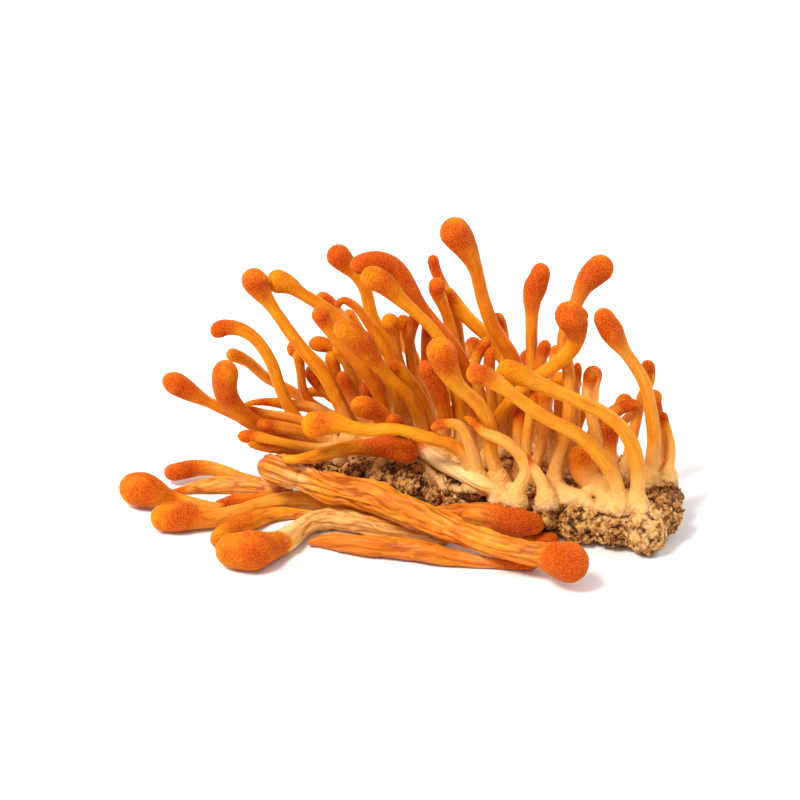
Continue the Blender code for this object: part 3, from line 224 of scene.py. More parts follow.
        (29.3, 1, 1.3)]),
    ("clump_pale_foot", -9, [(-19.7, 15, 0), (-17.5, 15, 2.6), (-15, 15.3, 2.3), (-12.5, 15.3, 1.9),
        (-10, 14.6, 1.4), (-7, 14, 1.3), (-1, 14.2, 1.15), (6, 12.3, 1.3), (10, 11.2, 1.3),
        (13, 8.8, 1.4), (14.9, 4.2, 1.5)]),
    ("clump_pale_foot", -11, [(6.2, 14.3, 0), (7.8, 15, 0.9), (9.5, 15.3, 1), (11.5, 15, 1),
        (12.9, 13.6, 1.1), (14.4, 9.8, 1.3), (15.8, 4, 1.5)]),
]

# Torn pale foot in front: across, up, radius and height from its upper end to its root
PALE_FOOT = [(1.6, 11.3, 0, 11), (3.2, 10.5, 1.3, 11), (5, 9.5, 1.5, 11), (8, 7.6, 1.5, 11),
             (11.5, 5.7, 1.5, 10.9), (15, 4, 1.5, 10.8), (18.2, 2.4, 1.4, 9.9), (20, 1.4, 1.1, 9)]

# Behind: node, foot (x, y), tip (x, y, z) and the head's radius
BACK = [
    ("clump_back_left", (-10.6, 22.4), (-23, 29, 21), 2.0),
    ("clump_back_left", (-9.2, 23.8), (-14, 35, 20), 1.8),
    ("clump_back_left", (-8.6, 22.3), (-6, 34, 15), 1.6),
    ("clump_back_middle", (6.4, 19.5), (-2, 32, 24), 2.2),
    ("clump_back_middle", (7.8, 20.5), (6, 33, 18), 1.9),
    ("clump_back_middle", (9, 18.8), (16, 29, 22), 1.8),
    ("clump_back_middle", (7.4, 18.3), (13, 32, 14), 1.5),
    ("clump_back_right", (28.4, 9.2), (19, 22, 24), 2.0),
    ("clump_back_right", (29.8, 10.3), (26, 27, 20), 2.1),
    ("clump_back_right", (31, 8.9), (36, 21, 17), 1.7),
    ("clump_back_right", (29.4, 8.3), (32, 19, 25), 1.6),
    ("clump_back_end", (38.6, 3.5), (39, 17, 21), 1.9),
    ("clump_back_end", (40.4, 3.2), (46, 14, 16), 1.8),
    ("clump_back_end", (41.6, 1.8), (52, 7, 20), 1.7),
]

# Lying: node, how high above the table the tip and the foot end lie, and the trace from tip to foot
LYING = [
    ("lying_outer_left", 0, 0, [(-56, 2, 0), (-53, 2.2, 3.3), (-50.5, 1.9, 3.4), (-48, 1, 2.5),
        (-45.5, 0.3, 1.5), (-43, -0.1, 1.1), (-40, -0.8, 1), (-35, -1.8, 1)]),
    ("lying_back_left", 1, 0, [(-47.1, 5.5, 0), (-45, 5.6, 1.8), (-42, 6.2, 1.8), (-39, 6.5, 1.6),
        (-36, 5.9, 1.4), (-33.5, 5, 1.3), (-31, 4.3, 1.1), (-27.5, 3.6, 0.9)]),
    ("lying_grooved", 0, 1.2, [(-46.5, 1.3, 0), (-45, 1.6, 0.6), (-42, 2.3, 1), (-39, 2.8, 1.4),
        (-36, 3.1, 1.6), (-30, 2.7, 1.6), (-21.5, 1.8, 1.5)]),
    ("lying_middle_left", 0, 0, [(-49.8, -3.9, 0), (-47.5, -3.6, 2.6), (-45, -3.3, 3), (-42, -3.3, 2.7),
        (-39, -3.6, 2.1), (-36, -3.4, 1.8), (-33, -2.7, 1.6), (-27, -0.9, 1.6), (-21, 0.1, 1.7),
        (-15, -0.6, 1.6), (-10, -2, 1.5), (-5, -3.4, 1.4), (-1, -4.4, 1.2)]),
    ("lying_dark_red", 0, 0, [(-37.5, -1.2, 0), (-35.5, -0.7, 1), (-33, 0, 1.2), (-29, 0.3, 1),
        (-23.5, 0.6, 0.9)]),
    ("lying_second_front", 0, 0, [(-37.2, -8.8, 0), (-35.5, -7.2, 2), (-33, -5.6, 2), (-30, -4.3, 1.8),
        (-27, -3.2, 1.5), (-24, -2.7, 1.3), (-20, -2.8, 1), (-15.5, -3.4, 1)]),
    ("lying_front_big_head", 0, 0, [(-36.4, -9.7, 0), (-33, -10.1, 3.4), (-30, -10.1, 3.9),
        (-27, -9.5, 3.1), (-24, -8.6, 2.4), (-22, -7.4, 2.2), (-20, -6, 2), (-17.5, -4.4, 2),
        (-14.5, -3.8, 2.1), (-7, -5, 2), (-3, -5.7, 1.8), (1, -6.3, 1.4), (10, -7.8, 1.3)]),
    ("lying_long_top", 0, 6.5, [(37.5, -12.8, 0), (33.6, -12.4, 3.9), (31.2, -11.8, 3.3),
        (28.8, -11.2, 2.6), (25, -10.4, 2.3), (20, -9.3, 2.2), (12, -6.5, 2.3), (6, -4, 2.7),
        (0, -1.5, 2.9), (-6, 0.7, 3), (-10, 1.7, 2.8), (-14, 2.5, 2.7), (-18, 3.9, 2.5), (-21, 4.8, 2.4),
        (-23.4, 5.7, 3.1), (-25.3, 6.3, 2.9), (-27, 6.9, 1.7)]),
    ("lying_on_crust", 9.2, 10.5, [(3.4, 8.6, 0), (0.2, 10, 2.4), (-3, 10.7, 2.3), (-6, 10.5, 1.8),
        (-9, 10.5, 1.5), (-13, 9.7, 1.4), (-17, 8.8, 1.2), (-20.5, 8.1, 1), (-23.5, 8.3, 0.9)]),
    ("lying_flat_pointed", 1.6, 1.6, [(28.5, -4.7, 0), (26.5, -4.7, 2.2), (24, -4.5, 2.8),
        (20, -3.7, 2.8), (16, -3, 2.4), (12, -2.5, 1.8), (8, -2.3, 1.2), (5, -2.2, 0.8)]),
    ("lying_small_behind", 0, 0, [(31.6, -7.8, 0), (29.5, -8, 1.5), (26.5, -7.8, 1.1), (19, -6.6, 0.9)]),
    ("lying_lowest", 0, 0, [(28, -12.9, 0), (24, -12.5, 1.5), (20, -12.6, 1.1), (14, -12, 1.3),
        (6, -10.6, 2), (1, -9.8, 2), (-4, -9.4, 2), (-9, -8.8, 1.9), (-14, -8.2, 1.5), (-17, -8.3, 0.9),
        (-18.5, -8.5, 0.5)]),
]

# Heights of the crust's top and of the feet on it, and how far above its foot a standing trace ends
CRUST_TOP = 9.0
FOOT_TOP = CRUST_TOP + 0.3
FOOT_RISE = 0.75
# The power of a standing club's lean, the least height of a lying one's line, and how far its tip droops
LEAN_POWER = 1.25
LEAST_LIE = 0.9
TIP_DROOP = 0.85
# A hidden club: shares of the way to its tip with the radius there, in heads, and how it bends and rises
BACK_PROFILE = [(1, 0), (0.92, 1), (0.8, 0.75), (0.66, 0.55), (0.4, 0.55), (0.18, 0.55), (0, 0.55)]
BACK_BEND, BACK_RISE = 1.7, 1.35
# A smooth line: the step that it is read in, the fewest such steps, and the fewest even ones laid out
FINE_STEP, FEWEST_FINE, FEWEST_EVEN = 0.25, 8, 4
# The least share of its radius that a tip keeps while the clubs make room
LEAST_TIP = 0.3

# Crowding: clear space between clubs, the spacing of the stations that it moves, and its rounds
CLEAR = 0.5
STATION = 2.5
ROUNDS, LAST_ROUNDS = 160, 128
# A foot is stiff over this length, clubs of one family may touch this near it, and pairs of stations
# further apart in the view than this are left out
STIFF_FOOT = 7.0
KIN_REACH = 11.0
NEAR = 2.5
GROUND_CLEAR, CRUST_CLEAR = 0.1, 0.4
# How freely a lying club and a standing one move, and how much each round evens a line out
LYING_FREE = 0.7
FREE_POWER = 0.8
LEAST_FREE, LEAST_COUNT = 0.02, 0.6
EASE, LAST_EASE = 0.28, 0.1


def standing_line(tip_back, trace):
    """Turn a standing club's trace into rows of x, y, z, radius: it leans more and more towards its tip."""
    seen = np.array([point[:2] for point in trace], float)
    steps = np.hypot(*np.diff(seen, axis=0).T)
    from_foot = np.clip(1 - np.concatenate([[0], np.cumsum(steps)]) / steps.sum(), 0, 1)
    foot = on_sight_line(*seen[-1], height=FOOT_TOP + FOOT_RISE)
    backs = foot[1] + (tip_back - foot[1]) * from_foot**LEAN_POWER
    rows = [on_sight_line(a, b, back=y) for (a, b), y in zip(seen, backs)]
    return np.column_stack([np.array(rows), [point[2] for point in trace]])


def lying_line(tip_lift, foot_lift, trace):
    """Turn a lying club's trace into rows of x, y, z, radius: it rests on the ground or so far above it."""
    across = np.array([point[0] for point in trace], float)
    from_tip = (across - across[0]) / (across[-1] - across[0])
    rows = []
    for (a, b, radius), share in zip(trace, from_tip):
        lift = tip_lift + (foot_lift - tip_lift) * share
        rows.append((*on_sight_line(a, b, height=max(radius, LEAST_LIE) + GROUND_CLEAR + lift), radius))
    rows[0] = (*on_sight_line(*trace[0][:2], height=rows[1][2] * TIP_DROOP), 0)
    return np.array(rows)


def back_line(foot, tip, head):
    """A hidden club at the back: it rises from its foot and bends towards its tip."""
    start, end = np.array([*foot, FOOT_TOP + FOOT_RISE]), np.array(tip, float)
    rows = []
    for share, heads in BACK_PROFILE:
        bend = np.array([share**BACK_BEND, share**BACK_BEND, 1 - (1 - share) ** BACK_RISE])
        rows.append((*(start + (end - start) * bend), heads * head))
    return np.array(rows)


def curve_through(at, values, where):
    """Values read at some places from the smooth curve through the given ones."""
    steps = np.diff(at)[:, None]
    slopes = np.diff(values, axis=0) / steps
    inner = (slopes[:-1] * steps[1:] + slopes[1:] * steps[:-1]) / (steps[1:] + steps[:-1])
    tangents = np.vstack([slopes[0], inner, slopes[-1]])
    span = np.clip(np.searchsorted(at, where, "right") - 1, 0, len(steps) - 1)
    width = steps[span]
    t = (where - at[span])[:, None] / width
    return ((1 + 2 * t) * (1 - t) ** 2 * values[span] + t * (1 - t) ** 2 * width * tangents[span]
            + t * t * (3 - 2 * t) * values[span + 1] + t * t * (t - 1) * width * tangents[span + 1])


def smooth_line(rows, spacing):
    """A smooth line through rows of x, y, z, radius, in even steps from the tip to the foot.

    Gives its rows, their distances from the tip, and the length over which the tip rounds off."""
    values = rows.copy()
    values[0, 3] = values[1, 3]
    steps = np.linalg.norm(np.diff(rows[:, :3], axis=0), axis=1)
    at = np.concatenate([[0], np.cumsum(steps)])
    fine = curve_through(at, values, np.linspace(0, at[-1], max(int(at[-1] / FINE_STEP), FEWEST_FINE)))
    run = np.concatenate([[0], np.cumsum(np.linalg.norm(np.diff(fine[:, :3], axis=0), axis=1))])
    even = np.linspace(0, run[-1], max(int(round(run[-1] / spacing)), FEWEST_EVEN) + 1)
    line = np.column_stack([np.interp(even, run, fine[:, k]) for k in range(4)])
    return line, even, steps[0]


def round_tip(distance, cap):
    """How much of the head's radius is left this close to the tip."""
    return np.sqrt(np.clip(1 - (1 - np.clip(distance / cap, 0, 1)) ** 2, 0, 1))


def closest(p0, p1, q0, q1):
    """Where on two sets of segments, as shares of each, they come closest."""
    d, e, w = p1 - p0, q1 - q0, p0 - q0
    a, b, c = (d * d).sum(1), (d * e).sum(1), (e * e).sum(1)
    f, g = (d * w).sum(1), (e * w).sum(1)
    s = np.clip((b * g - c * f) / np.maximum(a * c - b * b, 1e-9), 0, 1)
    t = np.clip((b * s + g) / np.maximum(c, 1e-9), 0, 1)
    s = np.clip((b * t - f) / np.maximum(a, 1e-9), 0, 1)
    return s, t


def crowding(lines, families, floors):
    """Move the clubs' stations along their sight lines until neighbours are CLEAR of each other.

    Feet stay, clubs of one family may touch near their common foot, and none goes under its floor."""
    points = np.vstack([line[:, :3] for line in lines])
    radii = np.concatenate([line[:, 3] for line in lines])
    owner = np.concatenate([np.full(len(line), k) for k, line in enumerate(lines)])
    to_foot = np.concatenate([STATION * np.arange(len(line))[::-1] for line in lines])
    standing = floors[owner] > CRUST_TOP
    sights = points - EYE
    sights /= np.linalg.norm(sights, axis=1)[:, None]
    free = np.where(standing, np.clip(to_foot / STIFF_FOOT, 0, 1) ** FREE_POWER, LYING_FREE)
    start = np.flatnonzero(owner[:-1] == owner[1:])
    flat = (points - EYE) @ np.column_stack([ACROSS, UPWARD])
    flat = flat / ((points - EYE) @ INWARD)[:, None] * EYE_OFF
    mids = (flat[start] + flat[start + 1]) / 2
    halves = np.linalg.norm(flat[start] - flat[start + 1], axis=1) / 2
    first, second = np.triu_indices(len(start), 1)
    near = np.linalg.norm(mids[first] - mids[second], axis=1) < (
        halves[first] + halves[second] + radii[start][first] + radii[start][second] + NEAR)
    near &= owner[start][first] != owner[start][second]
    kin = families[owner[start][first]] == families[owner[start][second]]
    at_foot = np.minimum(to_foot[start][first], to_foot[start][second]) < KIN_REACH
    near &= ~(kin & at_foot)
    i, j = start[first[near]], start[second[near]]
    moved = np.zeros(len(points))
    inner = np.flatnonzero((owner[:-2] == owner[1:-1]) & (owner[1:-1] == owner[2:])) + 1
    tips = np.flatnonzero(np.r_[True, owner[1:] != owner[:-1]])
    for turn in range(ROUNDS):
        now = points + sights * moved[:, None]
        s, t = closest(now[i], now[i + 1], now[j], now[j + 1])
        a = now[i] + (now[i + 1] - now[i]) * s[:, None]
        b = now[j] + (now[j + 1] - now[j]) * t[:, None]
        room = radii[i] * (1 - s) + radii[i + 1] * s + radii[j] * (1 - t) + radii[j + 1] * t + CLEAR
        apart = a - b
        distance = np.linalg.norm(apart, axis=1)
        along = (apart * sights[i]).sum(1)
        short = distance < room
        need = np.sqrt(np.maximum(along**2 + room**2 - distance**2, 0)) - np.abs(along)
        push = np.where(short, need, 0) * np.where(along >= 0, 1, -1)
        free_i, free_j = free[i] + LEAST_FREE, free[j] + LEAST_FREE
        total, count = np.zeros(len(points)), np.zeros(len(points))
        for index, share, weight in ((i, 1 - s, 1), (i + 1, s, 1), (j, 1 - t, -1), (j + 1, t, -1)):
            own = free_i if weight > 0 else free_j
            np.add.at(total, index, weight * push * own / (free_i + free_j) * share)
            np.add.at(count, index, short * share)
        moved += np.where(free > 0, 1, 0) * total / np.maximum(count, LEAST_COUNT)
        ease = EASE if turn < LAST_ROUNDS else LAST_EASE
        eased = moved.copy()
        eased[inner] += ease * (moved[inner - 1] + moved[inner + 1] - 2 * moved[inner])
        eased[tips] += ease * (moved[tips + 1] - moved[tips])
        moved = np.where(standing & (to_foot == 0), 0, eased)
        lowest = floors[owner] + radii
        below = np.minimum(points[:, 2] + sights[:, 2] * moved - lowest, 0)
        moved = np.where(to_foot > STIFF_FOOT / 2, moved - below / sights[:, 2], moved)
        moved = np.where(~standing, np.minimum(moved, (lowest - points[:, 2]) / sights[:, 2]), moved)
    now = points + sights * moved[:, None]
    return [now[owner == k] for k in range(len(lines))]


def grown_clubs():
    """Every club as its node's name, its line's points, distances from the tip, radii and tip length."""
    rows = [(name, standing_line(back, trace), 1) for name, back, trace in STANDING]
    pale = np.array([(*on_sight_line(a, b, height=z), r) for a, b, r, z in PALE_FOOT])
    rows.append(("clump_pale_foot", pale, 0))
    rows += [(name, back_line(foot, tip, head), 1) for name, foot, tip, head in BACK]
    rows += [(name, lying_line(low, high, trace), 0) for name, low, high, trace in LYING]
    names = [name for name, _, _ in rows]
    families = np.array([names.index(name) for name in names])
    floors = np.array([CRUST_TOP + CRUST_CLEAR if stands else GROUND_CLEAR for _, _, stands in rows])
    smooth = [smooth_line(line, STATION) for _, line, _ in rows]
    lines = []
    for line, even, cap in smooth:
        line = line.copy()
        line[:, 3] *= np.maximum(round_tip(even, cap), LEAST_TIP)
        lines.append(line)
    grown = []
    for name, points, (line, even, cap) in zip(names, crowding(lines, families, floors), smooth):
        grown.append((name, points, even, line[:, 3], cap))
    return grown


clubs = grown_clubs()
club_names = list(dict.fromkeys(club[0] for club in clubs))


# The crust and its threads: a slab of cooked grain bound by fungus threads, broken from its growing tray
# and flat below, brown and crumbly, with shade painted into the gaps between its crumbs. Where the clubs
# root, their flesh spreads into a cream skin of threads that climbs each foot and drapes in webs over the
# crust's edge.
CRUST_OUTLINE = [(-18, 5), (-4, -0.5), (3, -3.4), (8, -6.6), (14, -9), (20, -11.2), (28, -15), (38, -18),
                 (47, -21.5), (50.5, -17.5), (51.3, -9), (44.5, 2), (31, 11.5), (17, 17.5), (3, 23),
                 (-8, 27), (-15.5, 21.5), (-19, 13)]
SLAB_BOTTOM, SLAB_TOP = -2.0, 8.5
RIM_LUMP_EVERY, RIM_LUMP_SHIFT = 5.0, 0.2
RIM_LUMP_HEIGHTS, RIM_LUMP_RADII = (4.2, 5.2), (3.2, 4.2)
RIM_SEED = 11
FRONT_LUMPS = [(47.3, -21.8, 3.9, 4.2), (41.0, -20.0, 4.0, 3.7), (35.0, -17.6, 4.2, 4.3),
               (30.0, -14.6, 4.6, 4.2), (50.2, -9.5, 5.0, 4.8), (50.4, -16.0, 4.6, 4.4),
               (24.5, -11.2, 4.4, 4.2)]
CRUST_VOXEL, CRUST_DETAIL = 0.38, 3
WEB_VOXEL, WEB_DETAIL, WEB_ROUNDS = 0.34, 2, 5
# Patches of threads on the crust: x, y, z, radius and how much of the crust's own colour they hide
THREAD_MATS = [(47.3, -21.8, 4.8, 5.2, 0.8), (50.5, -11, 5.5, 2.6, 0.5), (16.5, -9, 6.6, 2.6, 0.55),
               (12, -7.5, 6.0, 2.4, 0.5), (2.5, -3.5, 6.2, 2.4, 0.5), (-6, 1.5, 7.0, 2.0, 0.4)]

# The web's strands, traced in the view as (across, up, radius): each lies on the crust that is seen there
STRANDS = [
    [(31.2, 3.2, 1.7), (32, 1.9, 1.9), (33.3, 0.8, 2.1), (35, 0.4, 2.1), (36.6, 0, 1.7), (38, -0.9, 1.1)],
    [(29.3, 2.5, 1.4), (29.7, 0, 1.4), (29.5, -2, 1.4), (29.2, -4, 1.2), (29.9, -5.2, 0.8)],
    [(30.2, 1.5, 1.3), (31.5, 0.3, 1.4), (32.6, -1.2, 1.1)],
    [(43.4, 1.5, 1.5), (42.3, 0.2, 1.5), (40.8, -0.9, 1.4), (39.5, -2.2, 1.2), (38.7, -3.6, 0.8)],
    [(43.7, 0.6, 1.4), (44.2, -0.9, 1.3), (43.4, -2.3, 1.0)],
    [(42.5, -1.2, 1.4), (41, -2.2, 1.1)],
    [(47.4, 1.5, 1.5), (47.7, 0, 1.6), (48.1, -1.3, 1.4), (48.6, -2.4, 1.0)],
    [(47, 0.8, 1.4), (46, -0.2, 1.1), (45.2, 0.6, 1.1), (44.4, 1.3, 1.2)],
    [(23.2, 2.5, 1.2), (22.8, 1.2, 1.5), (23.3, 0.1, 1.5), (24, -0.7, 1.0)],
    [(14, 4.2, 1.6), (16, 3.4, 1.9), (18, 2.2, 1.9), (20, 1.2, 1.6), (22, 0.1, 1.1), (24, -1, 0.45)],
    [(15, 1.6, 1.0), (18, 0.6, 1.1), (21, -0.4, 0.7)],
    [(24.3, -1.2, 0.22), (25.4, -0.9, 0.2), (26.6, -0.4, 0.17), (27.7, -0.1, 0.1)],
    [(-3.4, 8, 1.0), (-4.6, 5.7, 1.1), (-5.5, 4.2, 1.4), (-6.5, 3.4, 0.9)],
    [(-4.5, 5.2, 0.9), (-3.2, 3.7, 0.7)],
    [(-0.5, 5.2, 0.35), (-1.4, 4, 0.4), (-2.2, 3, 0.45)],
    [(4.2, 8, 0.8), (5.2, 6.6, 0.85), (6.4, 5.2, 0.9), (7.6, 3.8, 0.9)],
    [(7, 3.2, 1.0), (7, 1.5, 1.1), (6.8, -0.3, 0.9)],
    [(8.2, 5, 0.5), (8.8, 3, 0.5), (9.2, 1, 0.5)],
    [(0.6, 3.6, 0.8), (1.8, 2.6, 1.0), (2.6, 1.6, 0.8)],
    [(10.6, 2.4, 0.8), (12.2, 1.2, 1.0), (13.8, 0.2, 0.8)],
]
# A strand is a row of round lumps: their spacing, in its least radius and at least, how far past its last
# point the row may run, and how far a lump stands off the crust, in its own radius
STRAND_STEP, LEAST_STRAND_STEP, STRAND_END = 0.3, 0.12, 0.01
STRAND_LIFT = 0.2
# Stubs of flesh that stand free of the crust: across, up, height and radius
STUBS = [(37.2, 1.4, 9.6, 0.9), (38.3, 1.9, 9.9, 1.3), (39.2, 2.7, 10.4, 1.5), (39.9, 3.6, 11, 1.2),
         (40.3, 4.4, 11.5, 0.75), (40.3, 2.3, 10.1, 1.4), (40.4, 0.9, 9.5, 1.3), (40.3, -0.1, 9, 0.9)]
# A collar climbs each foot: how far above the foot's end, and how much thicker than the stem
COLLAR = [(-1.6, 1.25), (-0.9, 0.95), (-0.2, 0.68), (0.5, 0.46), (1.2, 0.29), (2.0, 0.15), (2.9, 0.04)]


def hashed(cells, seed):
    """Three random numbers from 0 to 1 for each cell of a grid, the same ones each time."""
    base = cells @ np.array([127.1, 311.7, 74.7]) + 37.7 * seed
    return np.stack([np.mod(np.sin(base + step) * 43758.5453, 1) for step in (0.0, 1.7, 4.1)], axis=1)


def swell(points, size, seed):
    """Smooth noise from -1 to 1 whose swellings are about this size."""
    at = points / size
    home = np.floor(at)
    share = at - home
    share = share * share * (3 - 2 * share)
    total = np.zeros(len(at))
    for corner in np.ndindex(2, 2, 2):
        weight = np.prod(np.where(corner, share, 1 - share), axis=1)
        total += weight * hashed(home + corner, seed)[:, 0]
    return 2 * total - 1


def layered(points, layers, seed):
    """Smooth noise in layers, each given as its height and its size, from one seed onwards."""
    return sum(height * swell(points, size, seed + k) for k, (height, size) in enumerate(layers))


def grains(points, size, seed):
    """How far each point is from the middle of the grain that it lies in, and that grain's own number."""
    at = points / size
    home = np.floor(at)
    best = np.full(len(at), 9.0)
    own = np.zeros(len(at))
    for step in np.ndindex(3, 3, 3):
        cell = home + step - 1
        draw = hashed(cell, seed)
        gap = np.linalg.norm(cell + draw - at, axis=1)
        own = np.where(gap < best, np.mod(draw[:, 0] * 91.7, 1), own)
        best = np.minimum(gap, best)
    return best, own


def mesh_of(name, points, faces, **marks):
    """A smooth mesh from points in millimetres of the trace, with a value or vector for each point."""
    mesh = bpy.data.meshes.new(name)
    mesh.from_pydata(((points + ZERO_POINT) * MM).tolist(), [], faces)
    mesh.shade_smooth()
    for mark, values in marks.items():
        flat = values.ndim == 1
        layer = mesh.attributes.new(mark, "FLOAT" if flat else "FLOAT_VECTOR", "POINT")
        layer.data.foreach_set("value" if flat else "vector", values.astype(np.float32).ravel())
    thing = bpy.data.objects.new(name, mesh)
    bpy.context.scene.collection.objects.link(thing)
    return thing


def crust_lumps():
    """The round lumps along the crust's rim: x, y, z and radius."""
    rng = random.Random(RIM_SEED)
    lumps = list(FRONT_LUMPS)
    outline = np.array(CRUST_OUTLINE, float)
    for (x0, y0), (x1, y1) in zip(outline, np.roll(outline, -1, axis=0)):
        count = max(round(math.hypot(x1 - x0, y1 - y0) / RIM_LUMP_EVERY), 1)
        for k in range(count):
            share = (k + rng.uniform(-RIM_LUMP_SHIFT, RIM_LUMP_SHIFT)) / count
            height = rng.uniform(*RIM_LUMP_HEIGHTS)
            radius = rng.uniform(*RIM_LUMP_RADII)
            lumps.append((x0 + (x1 - x0) * share, y0 + (y1 - y0) * share, height, radius))
    return lumps


def lump_shape(detail):
    """The corners and faces of a round lump of radius 1."""
    work = bmesh.new()
    bmesh.ops.create_icosphere(work, subdivisions=detail, radius=1)
    work.verts.index_update()
    corners = np.array([vert.co for vert in work.verts])
    sides = np.array([[vert.index for vert in face.verts] for face in work.faces])
    work.free()
    return corners, sides


def one_skin(lumps, detail, voxel, block=((), ())):
    """Melt round lumps (x, y, z, radius) and a block into one skin; gives its points, normals and faces."""
    corners, sides = lump_shape(detail)
    lumps = np.array(lumps, float)
    round_points = (lumps[:, None, :3] + corners * lumps[:, 3, None, None]).reshape(-1, 3)
    first = len(block[0]) + np.arange(len(lumps))[:, None, None] * len(corners)
    round_faces = (first + sides).reshape(-1, 3)
    mesh = bpy.data.meshes.new("rough")
    mesh.from_pydata(list(block[0]) + round_points.tolist(), [], list(block[1]) + round_faces.tolist())
    rough = bpy.data.objects.new("rough", mesh)
    bpy.context.scene.collection.objects.link(rough)
    remesh = rough.modifiers.new("one_skin", "REMESH")
    remesh.mode = "VOXEL"
    remesh.voxel_size = voxel
    bpy.context.view_layer.update()
    ready = bpy.data.meshes.new_from_object(rough.evaluated_get(bpy.context.evaluated_depsgraph_get()))
    bpy.data.objects.remove(rough)
    points = np.empty(3 * len(ready.vertices), np.float32)
    normals = np.empty_like(points)
    ready.vertices.foreach_get("co", points)
    ready.vertices.foreach_get("normal", normals)
    faces = [tuple(face.vertices) for face in ready.polygons]
    return points.reshape(-1, 3).astype(float), normals.reshape(-1, 3).astype(float), faces


HOLD = 0.4


def relaxed(points, faces, rounds):
    """The points of a skin, each drawn towards the middle of its neighbours this many times."""
    edges = np.array(faces)
    first = edges.ravel()
    second = np.roll(edges, -1, axis=1).ravel()
    count = np.bincount(first, minlength=len(points)) + np.bincount(second, minlength=len(points))
    for _ in range(rounds):
        total = np.zeros_like(points)
        for one, other in ((first, second), (second, first)):
            for axis in range(3):
                total[:, axis] += np.bincount(one, points[other, axis], minlength=len(points))
        points = HOLD * points + (1 - HOLD) * total / np.maximum(count, 1)[:, None]
    return points


def slab_skin():
    """The crust's slab and its lumps melted into one skin."""
    count = len(CRUST_OUTLINE)
    corners = [(x, y, z) for z in (SLAB_BOTTOM, SLAB_TOP) for x, y in CRUST_OUTLINE]
    walls = [(k, (k + 1) % count, count + (k + 1) % count, count + k) for k in range(count)]
    ends = [tuple(reversed(range(count))), tuple(range(count, 2 * count))]
    points, normals, faces = one_skin(crust_lumps(), CRUST_DETAIL, CRUST_VOXEL, (corners, walls + ends))
    points[:, 2] = np.clip(points[:, 2], 0, CRUST_TOP)
    return points, normals, faces


crust_points, crust_normals, crust_faces = slab_skin()
crust_tree = BVHTree.FromPolygons(crust_points.tolist(), crust_faces)


def on_crust(across, up):
    """The point of the crust that the view shows at (across, up), and the way from there to the eye."""
    sight = sight_through(across, up)
    sight /= np.linalg.norm(sight)
    spot, *_ = crust_tree.ray_cast(Vector(EYE), Vector(sight))
    return np.array(spot), -sight


def web_skin():
    """The threads' skin: collars round the feet, strands over the crust and free stubs, melted into one."""
    lumps = []
    for name, line, even, radii, _ in clubs:
        if not name.startswith("lying"):
            for rise, extra in COLLAR:
                at = even[-1] - max(rise, 0)
                spot = [np.interp(at, even, line[:, axis]) for axis in range(3)]
                spot[2] += min(rise, 0)
                lumps.append((*spot, np.interp(at, even, radii) + extra))
    for strand in STRANDS:
        traced = np.array(strand)
        run = np.concatenate([[0], np.cumsum(np.hypot(*np.diff(traced[:, :2], axis=0).T))])
        step = max(STRAND_STEP * traced[:, 2].min(), LEAST_STRAND_STEP)
        for at in np.arange(0, run[-1] + STRAND_END, step):
            across, up, radius = [np.interp(at, run, traced[:, axis]) for axis in range(3)]
            spot, to_eye = on_crust(across, up)
            lumps.append((*(spot + to_eye * STRAND_LIFT * radius), radius))
    for across, up, height, radius in STUBS:
        lumps.append((*on_sight_line(across, up, height=height), radius))
    points, _, faces = one_skin(lumps, WEB_DETAIL, WEB_VOXEL)
    return relaxed(points, faces, WEB_ROUNDS), faces


web_points, web_faces = web_skin()
web_tree = KDTree(len(web_points))
for index, spot in enumerate(web_points):
    web_tree.insert(spot, index)
web_tree.balance()

# Threads thin out from a patch's middle, by its radii, and from the web, by the millimetre
MAT_COVER, MAT_FADE = 2.2, 1.9
WEB_MOST, WEB_FADE = 0.9, 0.95
RAGGED_LAYERS, RAGGED_SEED = ((0.35, 1.6), (0.3, 0.7)), 21
BARE = 0.02


def threads_over(points):
    """How far fungus threads cover the crust at each point: over the patches, and beside the web."""
    cover = np.zeros(len(points))
    for x, y, z, radius, most in THREAD_MATS:
        gap = np.linalg.norm(points - (x, y, z), axis=1) / radius
        cover = np.maximum(cover, most * np.clip(MAT_COVER - MAT_FADE * gap, 0, 1))
    gap = np.array([web_tree.find(spot)[2] for spot in points])
    cover = np.maximum(cover, WEB_MOST * np.clip(1 - WEB_FADE * gap, 0, 1))
    ragged = layered(points, RAGGED_LAYERS, RAGGED_SEED)
    return np.clip(cover + ragged * (cover > BARE), 0, 1)


# Coarse and fine crumbs: their size, how far from its middle a crumb's edge lies, and its height
COARSE_CRUMB, COARSE_EDGE, COARSE_HEIGHT = 1.6, 0.55, 0.95
FINE_CRUMB, FINE_EDGE, FINE_HEIGHT = 0.72, 0.5, 0.6
# Broad swellings under them: height and size. All lie flatter under threads and near the ground
BROAD_HEIGHT, BROAD_SIZE = 0.45, 4.5
THREADS_FLATTEN, GROUND_FLATTEN = 0.88, 1.2
# How much shade is painted into the gaps between crumbs, and how far patches of the crust are lighter or
# darker
COARSE_SHADE, FINE_SHADE, FINE_DARK = 0.75, 0.95, 0.46
PATCH_TINT, PATCH_SIZE = 0.22, 6.0


